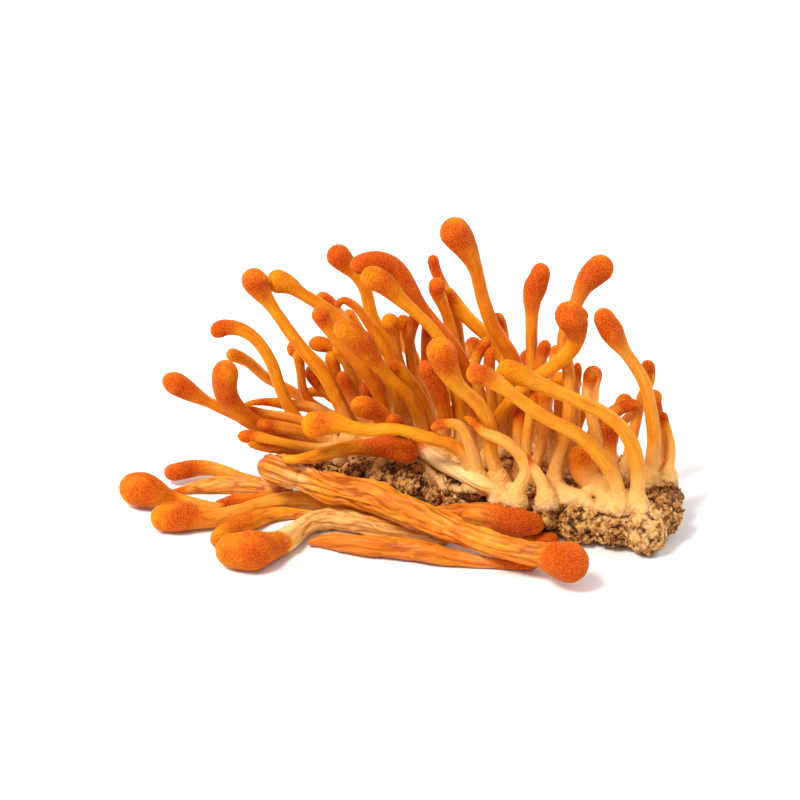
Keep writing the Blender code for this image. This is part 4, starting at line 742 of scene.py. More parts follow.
def crumbled(points, normals, cover):
    """Raise a skin into coarse and fine crumbs, fewer under the threads; gives its points and crumb marks:
    own tint, painted shade in the gaps between crumbs, and thread cover.
    """
    big, own = grains(points, COARSE_CRUMB, 3)
    small, tiny = grains(points, FINE_CRUMB, 5)
    relief = COARSE_HEIGHT * (COARSE_EDGE - big) + FINE_HEIGHT * (FINE_EDGE - small)
    relief += BROAD_HEIGHT * swell(points, BROAD_SIZE, 2)
    lift = relief * (1 - THREADS_FLATTEN * cover) * np.clip(points[:, 2] / GROUND_FLATTEN, 0, 1)
    points = points + normals * lift[:, None]
    points[:, 2] = np.clip(points[:, 2], 0, None)
    # Painted shade: the skin darkens in the gaps between crumbs
    shade = np.clip(0.5 + COARSE_SHADE * (COARSE_EDGE - big) + FINE_SHADE * (FINE_DARK - small), 0, 1)
    own = (own + tiny) / 2 + PATCH_TINT * swell(points, PATCH_SIZE, 7)
    return points, np.column_stack([np.clip(own, 0, 1), shade, cover])


def normals_of(points, faces):
    """The skin's own normals at its points."""
    corners = np.array(faces)
    one, other = points[corners[:, 2]] - points[corners[:, 0]], points[corners[:, 3]] - points[corners[:, 1]]
    ways = np.cross(one, other)
    total = np.zeros_like(points)
    for corner in range(4):
        for axis in range(3):
            total[:, axis] += np.bincount(corners[:, corner], ways[:, axis], minlength=len(points))
    return total / np.maximum(np.linalg.norm(total, axis=1), 1e-9)[:, None]


crust_cover = threads_over(crust_points)
crust_points, crumb_marks = crumbled(crust_points, crust_normals, crust_cover)
crust_piece = mesh_of("crust", crust_points, crust_faces, crumb=crumb_marks)

# The web is smooth and cream round the feet, and turns into crumbs down the crust's side: from the top of
# the crust downwards, raggedly, and nowhere above CRUMBY_TOP
CRUMBY_FADE, CRUMBY_RAGGED, CRUMBY_SIZE = 0.6, 0.9, 2.1
CRUMBY_TOP, CRUMBY_EDGE = 10.2, 1.2
RIPPLE, RIPPLE_SIZE = 0.1, 0.9
FINE_RIPPLE, FINE_RIPPLE_SIZE = 0.05, 0.4
WEB_SMOOTH, WEB_GAP_SHADE_KEPT = 0.85, 0.15
# The skin takes the warm cream of the feet from this far below their top, over this height
WARM_BELOW, WARM_RISE = 0.6, 2.2
web_normals = normals_of(web_points, web_faces)
crumby = CRUMBY_FADE * (CRUST_TOP - web_points[:, 2]) + CRUMBY_RAGGED * swell(web_points, CRUMBY_SIZE, 31)
crumby = np.clip(crumby, 0, 1) * np.clip((CRUMBY_TOP - web_points[:, 2]) / CRUMBY_EDGE, 0, 1)
rippled = RIPPLE * (1 + crumby) * swell(web_points, RIPPLE_SIZE, 32)
rippled += FINE_RIPPLE * swell(web_points, FINE_RIPPLE_SIZE, 33)
web_points = web_points + web_normals * rippled[:, None]
web_points, web_marks = crumbled(web_points, web_normals, 1 - WEB_SMOOTH * crumby)
# On the smooth web only a small share of the painted shade in the crumbs' gaps is kept
web_marks[:, 1] = 1 - (1 - web_marks[:, 1]) * (WEB_GAP_SHADE_KEPT + (1 - WEB_GAP_SHADE_KEPT) * crumby)
web_warm = np.clip((web_points[:, 2] - FOOT_TOP + WARM_BELOW) / WARM_RISE, 0, 1)
web_piece = mesh_of("thread_web", web_points, web_faces, crumb=web_marks, warm=web_warm)


def wire(tree, kind, sockets=None, **settings):
    """Add a shader node; each socket is given a number, a colour or another node's output."""
    made = tree.nodes.new("ShaderNode" + kind)
    for name, value in settings.items():
        setattr(made, name, value)
    for name, value in (sockets or {}).items():
        if isinstance(value, bpy.types.NodeSocket):
            tree.links.new(value, made.inputs[name])
        else:
            made.inputs[name].default_value = value
    return made


def reckon(tree, kind, first, second):
    """The output of a Math node; a sum is kept between 0 and 1."""
    return wire(tree, "Math", {0: first, 1: second}, operation=kind, use_clamp=kind == "ADD").outputs[0]


def blended(tree, share, first, second):
    """The output of a Mix node between two colours."""
    made = wire(tree, "Mix", {0: share, 6: first, 7: second}, data_type="RGBA", blend_type="MIX")
    return made.outputs[2]


def spread(tree, value, low, high):
    """A value stretched so that low becomes 0 and high becomes 1."""
    return wire(tree, "MapRange", {"Value": value, "From Min": low, "From Max": high}).outputs["Result"]


def ramped(tree, value, stops):
    """The colour that a value reads from a ramp of positions and colours."""
    made = wire(tree, "ValToRGB", {0: value})
    first, last = made.color_ramp.elements
    first.color = stops[0][1]
    last.color = stops[-1][1]
    for position, colour in stops[1:-1]:
        made.color_ramp.elements.new(position).color = colour
    return made.outputs["Color"]


def new_material(name, slot_colour):
    """A material with its shader, plainly coloured for the viewport."""
    material = bpy.data.materials.new(name)
    material.use_nodes = True
    material.diffuse_color = (*slot_colour, 1)
    tree = material.node_tree
    return material, tree, tree.nodes["Principled BSDF"]


def set_sockets(shader, **values):
    """Give the shader's own sockets their plain values, the sockets' words joined by underscores."""
    for name, value in values.items():
        shader.inputs[name.replace("_", " ")].default_value = value


def new_group(name, takes, gives):
    """An empty shader group with its named inputs and outputs."""
    group = bpy.data.node_groups.new(name, "ShaderNodeTree")
    for socket, kind in takes:
        group.interface.new_socket(socket, in_out="INPUT", socket_type="NodeSocket" + kind)
    for socket, kind in gives:
        group.interface.new_socket(socket, in_out="OUTPUT", socket_type="NodeSocket" + kind)
    start = group.nodes.new("NodeGroupInput")
    end = group.nodes.new("NodeGroupOutput")
    return group, start.outputs, end.inputs


# Fine grit: what crumbs and threads share, a bump and a speckle at a chosen size
grit_group, takes, gives = new_group("grit", [("Size", "Float")], [("Height", "Float"), ("Speck", "Float")])
place = wire(grit_group, "TexCoord").outputs["Object"]
fineness = reckon(grit_group, "DIVIDE", 1.0, takes["Size"])
cloud = wire(grit_group, "TexNoise", {"Vector": place, "Scale": fineness, "Detail": 4.0, "Roughness": 0.65})
chip = wire(grit_group, "TexVoronoi", {"Vector": place, "Scale": fineness})
rough = reckon(grit_group, "SUBTRACT", cloud.outputs["Fac"], chip.outputs["Distance"])
grit_group.links.new(rough, gives["Height"])
grit_group.links.new(cloud.outputs["Fac"], gives["Speck"])

THREAD_CREAM = (0.88, 0.56, 0.23, 1)
THREAD_TAN = (0.64, 0.32, 0.09, 1)
THREAD_GREY = (0.27, 0.16, 0.09, 1)
FOOT_CREAM = (0.88, 0.47, 0.12, 1)
# The darkest crumb colour, which is also the painted shade in the gaps between crumbs
CRUMB_DARK_AND_GAP_SHADE = (0.05, 0.018, 0.005, 1)
# The brown of the crumbs, which is also the painted shade on threads over the gaps between crumbs
CRUMB_BROWN_AND_THREAD_SHADE = (0.27, 0.092, 0.02, 1)
CRUMB_TAN = (0.58, 0.25, 0.06, 1)
CRUMB_PALE = (0.82, 0.50, 0.18, 1)
# Grit of two sizes in metres, and the ranges over which each mark and speckle shows: the crumbs' own tint,
# the painted shade in their gaps, tan and grey in the threads, the painted brown shade of threads over those
# gaps, and the threads themselves
FINE_GRIT, COARSE_GRIT = 0.0005, 0.0014
SPECK_TINT, TINT_SHIFT = (0.3, 1.1), 0.2
CREVICE_SHADE_RANGE = (0.22, 0.56)
TAN_RANGE, GREY_RANGE, THREAD_SHADE_RANGE = (0.36, 0.62), (0.56, 0.74), (0.15, 0.5)
COVER_RANGE = (0.3, 0.72)

crust_finish, tree, shader = new_material("crust_finish", (0.24, 0.14, 0.07))
crumb_mark = wire(tree, "Attribute", attribute_name="crumb").outputs["Vector"]
own, shade, cover = wire(tree, "SeparateXYZ", {0: crumb_mark}).outputs
warm = wire(tree, "Attribute", attribute_name="warm").outputs["Fac"]
grit = wire(tree, "Group", {"Size": FINE_GRIT}, node_tree=grit_group)
coarse_grit = wire(tree, "Group", {"Size": COARSE_GRIT}, node_tree=grit_group)
tint = reckon(tree, "ADD", own, spread(tree, grit.outputs["Speck"], *SPECK_TINT))
tint = reckon(tree, "SUBTRACT", tint, TINT_SHIFT)
crumb_colour = ramped(tree, tint, [(0, CRUMB_DARK_AND_GAP_SHADE), (0.3, CRUMB_BROWN_AND_THREAD_SHADE), (0.62, CRUMB_TAN), (1, CRUMB_PALE)])
# Painted shade: the crumbs darken to their darkest colour in the gaps between them
body = blended(tree, spread(tree, shade, *CREVICE_SHADE_RANGE), CRUMB_DARK_AND_GAP_SHADE, crumb_colour)
threads = blended(tree, spread(tree, coarse_grit.outputs["Speck"], *TAN_RANGE), THREAD_TAN, THREAD_CREAM)
threads = blended(tree, spread(tree, grit.outputs["Speck"], *GREY_RANGE), threads, THREAD_GREY)
# Painted shade: the threads darken to brown over the gaps between crumbs
threads = blended(tree, spread(tree, shade, *THREAD_SHADE_RANGE), CRUMB_BROWN_AND_THREAD_SHADE, threads)
body = blended(tree, spread(tree, cover, *COVER_RANGE), body, threads)
body = blended(tree, warm, body, FOOT_CREAM)
tree.links.new(body, shader.inputs["Base Color"])
set_sockets(shader, Roughness=0.85, Specular_IOR_Level=0.2)
bump = wire(tree, "Bump", {"Height": grit.outputs["Height"], "Strength": 0.7, "Distance": 0.0002})
tree.links.new(bump.outputs["Normal"], shader.inputs["Normal"])
crust_piece.data.materials.append(crust_finish)
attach(crust_piece, "root")
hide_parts("substrate_crust")
web_piece.data.materials.append(crust_finish)
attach(web_piece, "root")


# Loose crumbs: broken grain and bran that stuck to the crust's top and sides, up to a millimetre across,
# each one a small rough lump pressed into the surface.
CRUMBS, CRUMB_SEED = 2600, 5
LEAST_CRUMB, MORE_CRUMB = 0.16, 0.34
CRUMB_BREADTH, CRUMB_THICKNESS = (0.6, 1), (0.6, 0.9)
CRUMB_ROUGHNESS, CRUMB_OUT = 0.22, 0.1
CRUMB_TINTS, CRUMB_SHADE = (0, 0.9), 0.75
# Crumbs lie where threads cover less than this, and above this height
LOOSE_COVER, LOOSE_HEIGHT = 0.6, 1.2


def crumbs():
    """All the crumbs as one mesh, each set on a point of the crust that the threads leave bare."""
    rng = np.random.default_rng(CRUMB_SEED)
    shape, sides = lump_shape(1)
    bare = np.flatnonzero((crust_cover < LOOSE_COVER) & (crust_points[:, 2] > LOOSE_HEIGHT))
    points, faces, marks = [], [], []
    for spot in rng.choice(bare, CRUMBS, replace=False):
        size = LEAST_CRUMB + MORE_CRUMB * rng.uniform() ** 2
        size = size * np.array([1, rng.uniform(*CRUMB_BREADTH), rng.uniform(*CRUMB_THICKNESS)])
        turned = np.linalg.qr(rng.normal(size=(3, 3)))[0]
        uneven = 1 + CRUMB_ROUGHNESS * rng.normal(size=(len(shape), 1)).clip(-1, 1)
        lump = (shape * size * uneven) @ turned
        faces.append(sides + len(points) * len(shape))
        points.append(lump + crust_points[spot] + CRUMB_OUT * crust_normals[spot])
        marks.append(np.tile((rng.uniform(*CRUMB_TINTS), CRUMB_SHADE, 0.0), (len(shape), 1)))
    points = np.vstack(points)
    points[:, 2] = np.maximum(points[:, 2], 0)
    return mesh_of("crust_crumbs", points, np.vstack(faces).tolist(), crumb=np.vstack(marks))


crumb_piece = crumbs()
crumb_piece.data.materials.append(crust_finish)
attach(crumb_piece, "root")


# Standing clubs: single orange fruit bodies. The swollen head is matt and covered in fine pimples, the
# stem is smooth, satin and a little see-through, and it pales and widens where it roots in the crust.
# Tones run from 0, yellow, to 1, deep red orange: head, stem, and how bleached the stem is
TONES = {
    "club_long_left": (0.62, 0.3, 0),
    "club_yellow_left": (0.08, 0.35, 0),
    "club_hooked_left": (0.78, 0.5, 0),
    "club_curved_left": (0.66, 0.6, 0),
    "club_far_left": (0.6, 0.4, 0),
    "club_high_left": (0.75, 0.3, 0),
    "club_arched": (0.78, 0.85, 0),
    "club_short_arched": (0.5, 0.35, 0),
    "club_oval_head": (0.45, 0.3, 0),
    "club_thin_hooked": (0.65, 0.6, 0),
    "club_under_oval": (0.55, 0.6, 0),
    "club_tallest": (0.62, 0.62, 0),
    "club_slim_middle": (0.8, 0.6, 0),
    "club_dark_middle": (0.55, 0.5, 0),
    "club_yellow_middle": (0.2, 0.15, 0),
    "club_upright_right": (0.75, 0.62, 0.05),
    "club_ball_head": (0.7, 0.4, 0),
    "club_high_right": (0.66, 0.45, 0.1),
    "club_outer_right": (0.55, 0.3, 0.1),
    "club_long_front": (0.0, 0.15, 0.05),
    "club_front_below": (0.55, 0.2, 0.05),
    "club_front_centre": (0.5, 0.3, 0.05),
    "club_thick_dark": (0.8, 0.7, 0),
    "club_inner_bent": (0.4, 0.2, 0),
    "club_dry_pointed": (0.3, 0.3, 0.2),
    "club_pale_slim": (0.3, 0.2, 0.35),
    "club_bent_right": (0.35, 0.2, 0.3),
    "club_pointing_right": (0.62, 0.4, 0.2),
    "club_dark_tip_right": (0.72, 0.4, 0.1),
    "lying_outer_left": (0.5, 0.4, 0.05),
    "lying_back_left": (0.65, 0.45, 0.1),
    "lying_grooved": (0.35, 0.3, 0.1),
    "lying_middle_left": (0.42, 0.1, 0.15),
    "lying_dark_red": (1.0, 0.9, 0),
    "lying_second_front": (0.4, 0.4, 0.1),
    "lying_front_big_head": (0.45, 0.35, 0.45),
    "lying_long_top": (0.85, 0.62, 0.08),
    "lying_on_crust": (0.72, 0.35, 0),
    "lying_flat_pointed": (0.9, 0.7, 0.15),
    "lying_small_behind": (0.7, 0.5, 0),
    "lying_lowest": (0.8, 1.05, 0.05),
}
# Where the head's colour starts to fade and where it is gone, in lengths of the head, and how raggedly
HEAD_EDGES = {"lying_front_big_head": (0.98, 1.1), "lying_long_top": (0.8, 1.15), "club_arched": (0.8, 3.0),
              "club_thin_hooked": (1.0, 4.0), "club_slim_middle": (0.9, 3.0), "club_thick_dark": (1.0, 3.0)}
USUAL_EDGE = (0.62, 1.5)
EDGE_RAGGED, EDGE_RAGGED_SIZE = 0.09, 1.3
# Torn or bleached patches of a stem: how far from the foot, over what length, and how pale
PALE_PATCHES = {"lying_long_top": (10.0, 4.0, 0.9), "lying_front_big_head": (38.0, 9.0, 0.6),
                "lying_lowest": (36.0, 4.0, 0.5), "lying_grooved": (10.0, 8.0, 0.3)}
TORN_MIDDLE, TORN_SPREAD, TORN_STRETCH = 0.6, 0.9, (0.9, 0.9, 0.12)
# The head: how much thicker than the neck it is, the share of the club that it may take, and its least
# length in lengths of the round tip
HEAD_THICKER, HEAD_WITHIN, LEAST_HEAD = 1.25, 0.5, 2.2
NECK_FROM = 0.4
# Rings over the round tip, from this share of it on, and how far the very tip stands ahead of it
TIP_RINGS, FIRST_RING, TIP_OUT = 9, 0.1, 0.004
# A rooted foot goes so deep into the crust and flares so much over this height; it pales in these last
# millimetres. A picked one is rounded off over a share of its radius, to this much of it squared.
ROOT_DEEP = 1.9
FLARE, FLARE_HEIGHT = 0.3, 1.1
PALE_FOOT_REACH = (4.0, 11.0)
CUT_ROUND, CUT_LEAST = 0.7, 0.09
# A picked foot is a knob without long folds, over these millimetres from its end, with lumps of its own
KNOB_REACH, KNOB_SMOOTH = (2.0, 6.0), 0.75
KNOB_LUMPS, KNOB_LUMP_SIZE = 0.09, 1.1
# Folds wander over this reach; they are stretched along the stem, coarse and fine, and fade in places
WANDER, WANDER_STRETCH = 0.9, (0.3, 0.3, 0.2)
COARSE_FOLDS, FINE_FOLDS, FINE_FOLD_SHARE = (1.3, 1.3, 0.12), (3.0, 3.0, 0.3), 0.5
CREASE_WIDTH, CREASE_MIDDLE = 1.6, 0.5
PLACES_STRETCH, PLACES_RANGE, LEAST_FOLDED = (0.2, 0.2, 0.1), (-0.7, 0.4), 0.5
FOLDED_AT_TIP, FOLDED_TO_FOOT = 0.6, 0.5
FOLDS_ON_HEAD = 0.15
# Deep folds get painted shade in their grooves, up to this share of the shade in those of the deepest stems
GROOVE_FOLDS, GROOVE_MOST = 0.1, 2.4
# Swellings of the stem and less of them on the head, pimples, and the skin's own fine unevenness
BULGE, BULGE_ON_HEAD, BULGE_SIZE = 0.04, 0.01, 3.6
PIMPLE_SIZE, PIMPLE_EDGE, PIMPLE_HEIGHT = 0.5, 0.55, 0.05
SKIN_HEIGHT, SKIN_SIZE = 0.018, 0.5
# Relief is held back where a club is thinner than this, down to a share of it
THIN, THIN_SHARE = 0.5, 0.2
# A head reddens behind its middle and in patches, and a stem's tone changes along it and in spots
BLUSH_AT, BLUSH_REACH = 0.62, 0.3
BLUSH_PATCHES, BLUSH_PATCH_SIZE = 0.7, 2.4
BLUSH, BLUSH_BASE = 0.34, 0.16
STREAK_TONE, STREAK_STRETCH = 0.35, (0.42, 0.42, 0.05)
SPOT_TONE, SPOT_SIZE = 0.2, 1.7
# Each skin has noise of its own: a number to start from, and a place far along from the others'
skin_seeds = itertools.count(1)
SEED_APART = 61.3


def ease(value, low, high):
    """0 below low, 1 above high, and a smooth step between them."""
    share = np.clip((value - low) / (high - low), 0, 1)
    return share * share * (3 - 2 * share)


def ways_along(middle):
    """The directions along a line and twice across it, twisted as little as can be from ring to ring."""
    ahead = np.gradient(middle, axis=0)
    ahead /= np.linalg.norm(ahead, axis=1)[:, None]
    side = np.cross(ahead[0], (0.3, 0.5, 0.8))
    first = np.empty_like(middle)
    for k, way in enumerate(ahead):
        side = side - way * (side @ way)
        side = side / np.linalg.norm(side)
        first[k] = side
    return ahead, first, np.cross(ahead, first)


def creases(points, seed):
    """Noise with sharp valleys and round ridges, from below to above 0."""
    return np.abs(swell(points, 1.0, seed)) * CREASE_WIDTH - CREASE_MIDDLE


def lengthwise_folds(grown, down, seed):
    """Long folds, coarse and fine, that wander along the stem and fade in places, from tip to foot."""
    shift = swell(grown * WANDER_STRETCH, 1.0, seed + 6)[:, None]
    wander = grown + WANDER * shift * (1, -1, 0)
    fold = creases(wander * COARSE_FOLDS, seed + 3)
    fold += FINE_FOLD_SHARE * creases(wander * FINE_FOLDS, seed + 4)
    places = ease(swell(grown * PLACES_STRETCH, 1.0, seed + 7), *PLACES_RANGE)
    return fold * (LEAST_FOLDED + (1 - LEAST_FOLDED) * places) * (FOLDED_AT_TIP + FOLDED_TO_FOOT * down)


def tube_faces(rings, sides):
    """The four-sided faces between rings of corners, one ring after the other."""
    here = np.arange(rings - 1)[:, None] * sides + np.arange(sides)
    there = np.arange(rings - 1)[:, None] * sides + (np.arange(sides) + 1) % sides
    return np.stack([here, there, there + sides, here + sides], axis=-1).reshape(-1, 4)


def club_skin(club, sides, fine, coarse, folds=0.035, rooted=True, tones=None, pimpled=1.0):
    """A club's skin in mm: its points, faces and marks.

    Rings of corners run from the tip to the foot, close over the head and wider along the stem. The
    radius swells and folds lengthwise with smooth noise, and the head rises in pimples."""
    name, points, even, radii, cap = club
    seed = next(skin_seeds)
    if rooted:
        points = np.vstack([points, points[-1] - (0, 0, ROOT_DEEP)])
        even = np.append(even, even[-1] + ROOT_DEEP)
        radii = np.append(radii, radii[-1])
    length = even[-1]
    neck = np.median(radii[even > NECK_FROM * length])
    thick = even[(radii > HEAD_THICKER * neck) & (even < HEAD_WITHIN * length)]
    head = max(thick.max() if len(thick) else 0, LEAST_HEAD * cap)

    dome = cap * (1 - np.cos(np.linspace(FIRST_RING, 1, TIP_RINGS) * math.pi / 2))
    places = np.concatenate([dome, np.arange(cap + fine, head, fine),
                             np.arange(head + fine, length, coarse), [length]])
    middle = curve_through(even, points, places)
    wide = curve_through(even, radii[:, None], places)[:, 0] * round_tip(places, cap)
    from_foot = length - places
    if rooted:
        wide = wide * (1 + FLARE * np.exp(-from_foot / FLARE_HEIGHT))
    else:
        ending = 1 - np.clip(from_foot / (CUT_ROUND * wide), 0, 1)
        wide = wide * np.sqrt(np.clip(1 - ending**2, CUT_LEAST, 1))

    ahead, first, second = ways_along(middle)
    angle = np.arange(sides) * 2 * math.pi / sides
    across, over = np.cos(angle), np.sin(angle)
    out = first[:, None] * across[None, :, None] + second[:, None] * over[None, :, None]
    grid = middle[:, None] + out * wide[:, None, None]
    mean = float(np.mean(wide))
    shape = (len(places), sides)
    unrolled = [np.broadcast_to(part, shape) for part in (across * mean, over * mean, places[:, None])]
    grown = np.stack(unrolled, axis=-1).reshape(-1, 3) + (0, 0, SEED_APART * seed)
    flat = grid.reshape(-1, 3)
    along, above_foot = np.repeat(places, sides), np.repeat(from_foot, sides)
    radius = np.repeat(wide, sides)

    ragged = EDGE_RAGGED * head * swell(grown, EDGE_RAGGED_SIZE, seed)
    fade_from, fade_to = HEAD_EDGES.get(name, USUAL_EDGE)
    on_head = 1 - ease(along + ragged, fade_from * head, fade_to * head)
    near_foot = 1 - ease(above_foot, *PALE_FOOT_REACH) if rooted else np.zeros(len(flat))
    knob = np.zeros(len(flat)) if rooted else 1 - ease(above_foot, *KNOB_REACH)
    fold = lengthwise_folds(grown, along / length, seed)
    shown = (1 - (1 - FOLDS_ON_HEAD) * on_head) * (1 - KNOB_SMOOTH * knob)
    bulge = (BULGE - (BULGE - BULGE_ON_HEAD) * on_head) * swell(flat, BULGE_SIZE, seed + 1)
    pimple, _ = grains(flat, PIMPLE_SIZE, seed + 2)
    lift = radius * (bulge + folds * fold * shown)
    lift += KNOB_LUMPS * knob * radius * swell(flat, KNOB_LUMP_SIZE, seed + 12)
    lift += PIMPLE_HEIGHT * pimpled * (PIMPLE_EDGE - pimple) * on_head
    lift += SKIN_HEIGHT * swell(flat, SKIN_SIZE, seed + 5)
    lift *= np.clip(radius / THIN, THIN_SHARE, 1)
    outward = np.cross(np.roll(grid, -1, 1) - np.roll(grid, 1, 1), np.gradient(grid, axis=0)).reshape(-1, 3)
    outward /= np.maximum(np.linalg.norm(outward, axis=1), 1e-9)[:, None]
    flat = flat + outward * lift[:, None]

    # The groove mark: how much painted shade darkens the folds' grooves
    groove = np.clip(0.5 + 0.5 * min(folds / GROOVE_FOLDS, GROOVE_MOST) * fold, 0, 1)
    masks = np.column_stack([on_head, near_foot, groove])
    tints = np.tile(tones or TONES[name], (len(flat), 1)).astype(float)
    blush = np.exp(-(((along / head - BLUSH_AT) / BLUSH_REACH) ** 2))
    tints[:, 0] += BLUSH * (blush + BLUSH_PATCHES * swell(flat, BLUSH_PATCH_SIZE, seed + 8)) - BLUSH_BASE
    tints[:, 1] += STREAK_TONE * swell(grown * STREAK_STRETCH, 1.0, seed + 9)
    tints[:, 1] += SPOT_TONE * swell(flat, SPOT_SIZE, seed + 10)
    if name in PALE_PATCHES:
        where, reach, most = PALE_PATCHES[name]
        patch = np.exp(-(((above_foot - where) / reach) ** 2))
        torn = TORN_MIDDLE + TORN_SPREAD * swell(grown * TORN_STRETCH, 1.0, seed + 11)
        tints[:, 2] += most * patch * np.clip(torn, 0, 1)

    rings, turn = len(places), (np.arange(sides) + 1) % sides
    last = (rings - 1) * sides
    tip_fan = np.column_stack([np.full(sides, rings * sides), turn, np.arange(sides)])
    foot_fan = np.column_stack([np.full(sides, rings * sides + 1), last + np.arange(sides), last + turn])
    faces = tube_faces(rings, sides).tolist() + tip_fan.tolist() + foot_fan.tolist()
    flat = np.vstack([flat, points[0] - TIP_OUT * cap * ahead[0], middle[-1]])
    masks = np.vstack([masks, masks[0], masks[-1]])
    tints = np.vstack([tints, tints[:2]])
    grown = np.vstack([grown, grown[0], grown[-1]])
    return flat, faces, masks, tints, grown


def one_piece(name, skins):
    """One mesh from several skins."""
    faces, start = [], 0
    for points, corners, *_ in skins:
        faces += [tuple(corner + start for corner in face) for face in corners]
        start += len(points)
    points, masks, tints, grown = [np.vstack([skin[k] for skin in skins]) for k in (0, 2, 3, 4)]
    return mesh_of(name, points, faces, masks=masks, tints=tints, grown=grown)


# Pimples: the fine mouths that stand out all over a ripe head, as height, a painted highlight on each
# pimple's top and painted shade in the gaps between them
DOT_HIGHLIGHT_RANGE, GAP_SHADE_RANGE = (0.56, 0.82), (0.42, 0.8)
pimple_group, takes, gives = new_group("pimples", [("Size", "Float")],
                                       [("Height", "Float"), ("Dot", "Float"), ("Gap", "Float")])
place = wire(pimple_group, "TexCoord").outputs["Object"]
fineness = reckon(pimple_group, "DIVIDE", 1.0, takes["Size"])
mouth = wire(pimple_group, "TexVoronoi", {"Vector": place, "Scale": fineness})
dome = reckon(pimple_group, "SUBTRACT", 1.0, mouth.outputs["Distance"])
pimple_group.links.new(dome, gives["Height"])
pimple_group.links.new(spread(pimple_group, dome, *DOT_HIGHLIGHT_RANGE), gives["Dot"])
pimple_group.links.new(spread(pimple_group, mouth.outputs["Distance"], *GAP_SHADE_RANGE), gives["Gap"])

# Fibres: the fine lengthwise grain of a stem, as height and streaks
FIBRE_STRETCH = (1, 1, 0.07)
STREAK_RANGE = (0.38, 0.66)
fibre_group, takes, gives = new_group("fibres", [("Grown", "Vector"), ("Width", "Float")],
                                      [("Height", "Float"), ("Streak", "Float")])
fineness = reckon(fibre_group, "DIVIDE", 1.0, takes["Width"])
drawn = wire(fibre_group, "VectorMath", {0: takes["Grown"], 1: FIBRE_STRETCH}, operation="MULTIPLY")
strand = wire(fibre_group, "TexNoise",
              {"Vector": drawn.outputs[0], "Scale": fineness, "Detail": 3.0, "Roughness": 0.55})
fibre_group.links.new(strand.outputs["Fac"], gives["Height"])
fibre_group.links.new(spread(fibre_group, strand.outputs["Fac"], *STREAK_RANGE), gives["Streak"])

# Flesh: the colour of a club from its masks and tones, with painted highlights on the pimples, painted shade
# between them and painted shade in the folds' grooves
HEAD_YELLOW = (0.86, 0.28, 0.004, 1)
HEAD_ORANGE = (0.68, 0.10, 0.003, 1)
HEAD_RED = (0.46, 0.04, 0.002, 1)
DOT_HIGHLIGHT_YELLOW = (0.92, 0.30, 0.02, 1)
GAP_SHADE_RED = (0.34, 0.026, 0.001, 1)
STEM_YELLOW = (0.82, 0.31, 0.006, 1)
STEM_ORANGE = (0.58, 0.092, 0.002, 1)
GROOVE_SHADE_RED = (0.34, 0.05, 0.002, 1)
STREAK_CREAM = (0.92, 0.64, 0.28, 1)
# Clouds that drift over the skin, how many to a metre and where they show, and what they add to the tone
# of a head and of a stem, which is then shifted back
CLOUDS, CLOUD_RANGE = 380.0, (0.32, 0.68)
HEAD_DRIFT, HEAD_SHIFT = 0.36, 0.24
STEM_DRIFT, STEM_SHIFT = 0.4, 0.12
# How far streaks and bleaching turn a stem to yellow before its cream comes in
STREAK_YELLOW, BLEACH_YELLOW = 0.32, 0.7
# The shares of painted highlight dots and of painted shade in the gaps on the head and the stem, of cream at
# the foot, and of painted red shade in the grooves
DOT_HIGHLIGHT_SHARE, GAP_SHADE_SHARE, STEM_GAP_SHADE_SHARE = 0.5, 0.55, 0.22
FOOT_SHARE = 0.85
GROOVE_RANGE, GROOVE_SHADE_SHARE, BLEACHED_GROOVE = (0.16, 0.5), 0.8, 0.6
STEM_ROUGH, HEAD_ROUGHER = 0.42, 0.24
flesh_group, takes, gives = new_group(
    "flesh",
    [("Masks", "Vector"), ("Tints", "Vector"), ("Streak", "Float"), ("Dot", "Float"), ("Gap", "Float")],
    [("Color", "Color"), ("Roughness", "Float")])
plus, minus, times = [partial(reckon, flesh_group, kind) for kind in ("ADD", "SUBTRACT", "MULTIPLY")]
coloured = partial(blended, flesh_group)
head, foot, groove = wire(flesh_group, "SeparateXYZ", {0: takes["Masks"]}).outputs
head_tone, stem_tone, bleach = wire(flesh_group, "SeparateXYZ", {0: takes["Tints"]}).outputs
place = wire(flesh_group, "TexCoord").outputs["Object"]
cloud = wire(flesh_group, "TexNoise", {"Vector": place, "Scale": CLOUDS, "Detail": 3.0, "Roughness": 0.6})
drift = spread(flesh_group, cloud.outputs["Fac"], *CLOUD_RANGE)
tone = minus(plus(head_tone, times(drift, HEAD_DRIFT)), HEAD_SHIFT)
ripe = ramped(flesh_group, tone, [(0, HEAD_YELLOW), (0.5, HEAD_ORANGE), (1, HEAD_RED)])
# Painted highlight on the pimples' tops and painted shade in the gaps between them
ripe = coloured(times(takes["Dot"], DOT_HIGHLIGHT_SHARE), ripe, DOT_HIGHLIGHT_YELLOW)
ripe = coloured(times(takes["Gap"], GAP_SHADE_SHARE), ripe, GAP_SHADE_RED)
tone = minus(plus(stem_tone, times(drift, STEM_DRIFT)), STEM_SHIFT)
tone = minus(minus(tone, times(takes["Streak"], STREAK_YELLOW)), times(bleach, BLEACH_YELLOW))
stem = coloured(tone, STEM_YELLOW, STEM_ORANGE)
stem = coloured(times(bleach, plus(takes["Streak"], bleach)), stem, STREAK_CREAM)
# Painted shade between the pimples on the stem
stem = coloured(times(takes["Gap"], STEM_GAP_SHADE_SHARE), stem, STEM_ORANGE)
stem = coloured(times(foot, FOOT_SHARE), stem, FOOT_CREAM)
# Painted shade: the folds' grooves darken towards red, less on bleached stems
valley_shade = minus(1.0, spread(flesh_group, groove, *GROOVE_RANGE))
stem = coloured(times(valley_shade, minus(GROOVE_SHADE_SHARE, times(bleach, BLEACHED_GROOVE))), stem, GROOVE_SHADE_RED)
flesh_group.links.new(coloured(head, stem, ripe), gives["Color"])
flesh_group.links.new(plus(STEM_ROUGH, times(head, HEAD_ROUGHER)), gives["Roughness"])

PIMPLE_GRAIN = 0.00026
SATIN = 0.16
PIMPLES_ON_STEM = 0.3


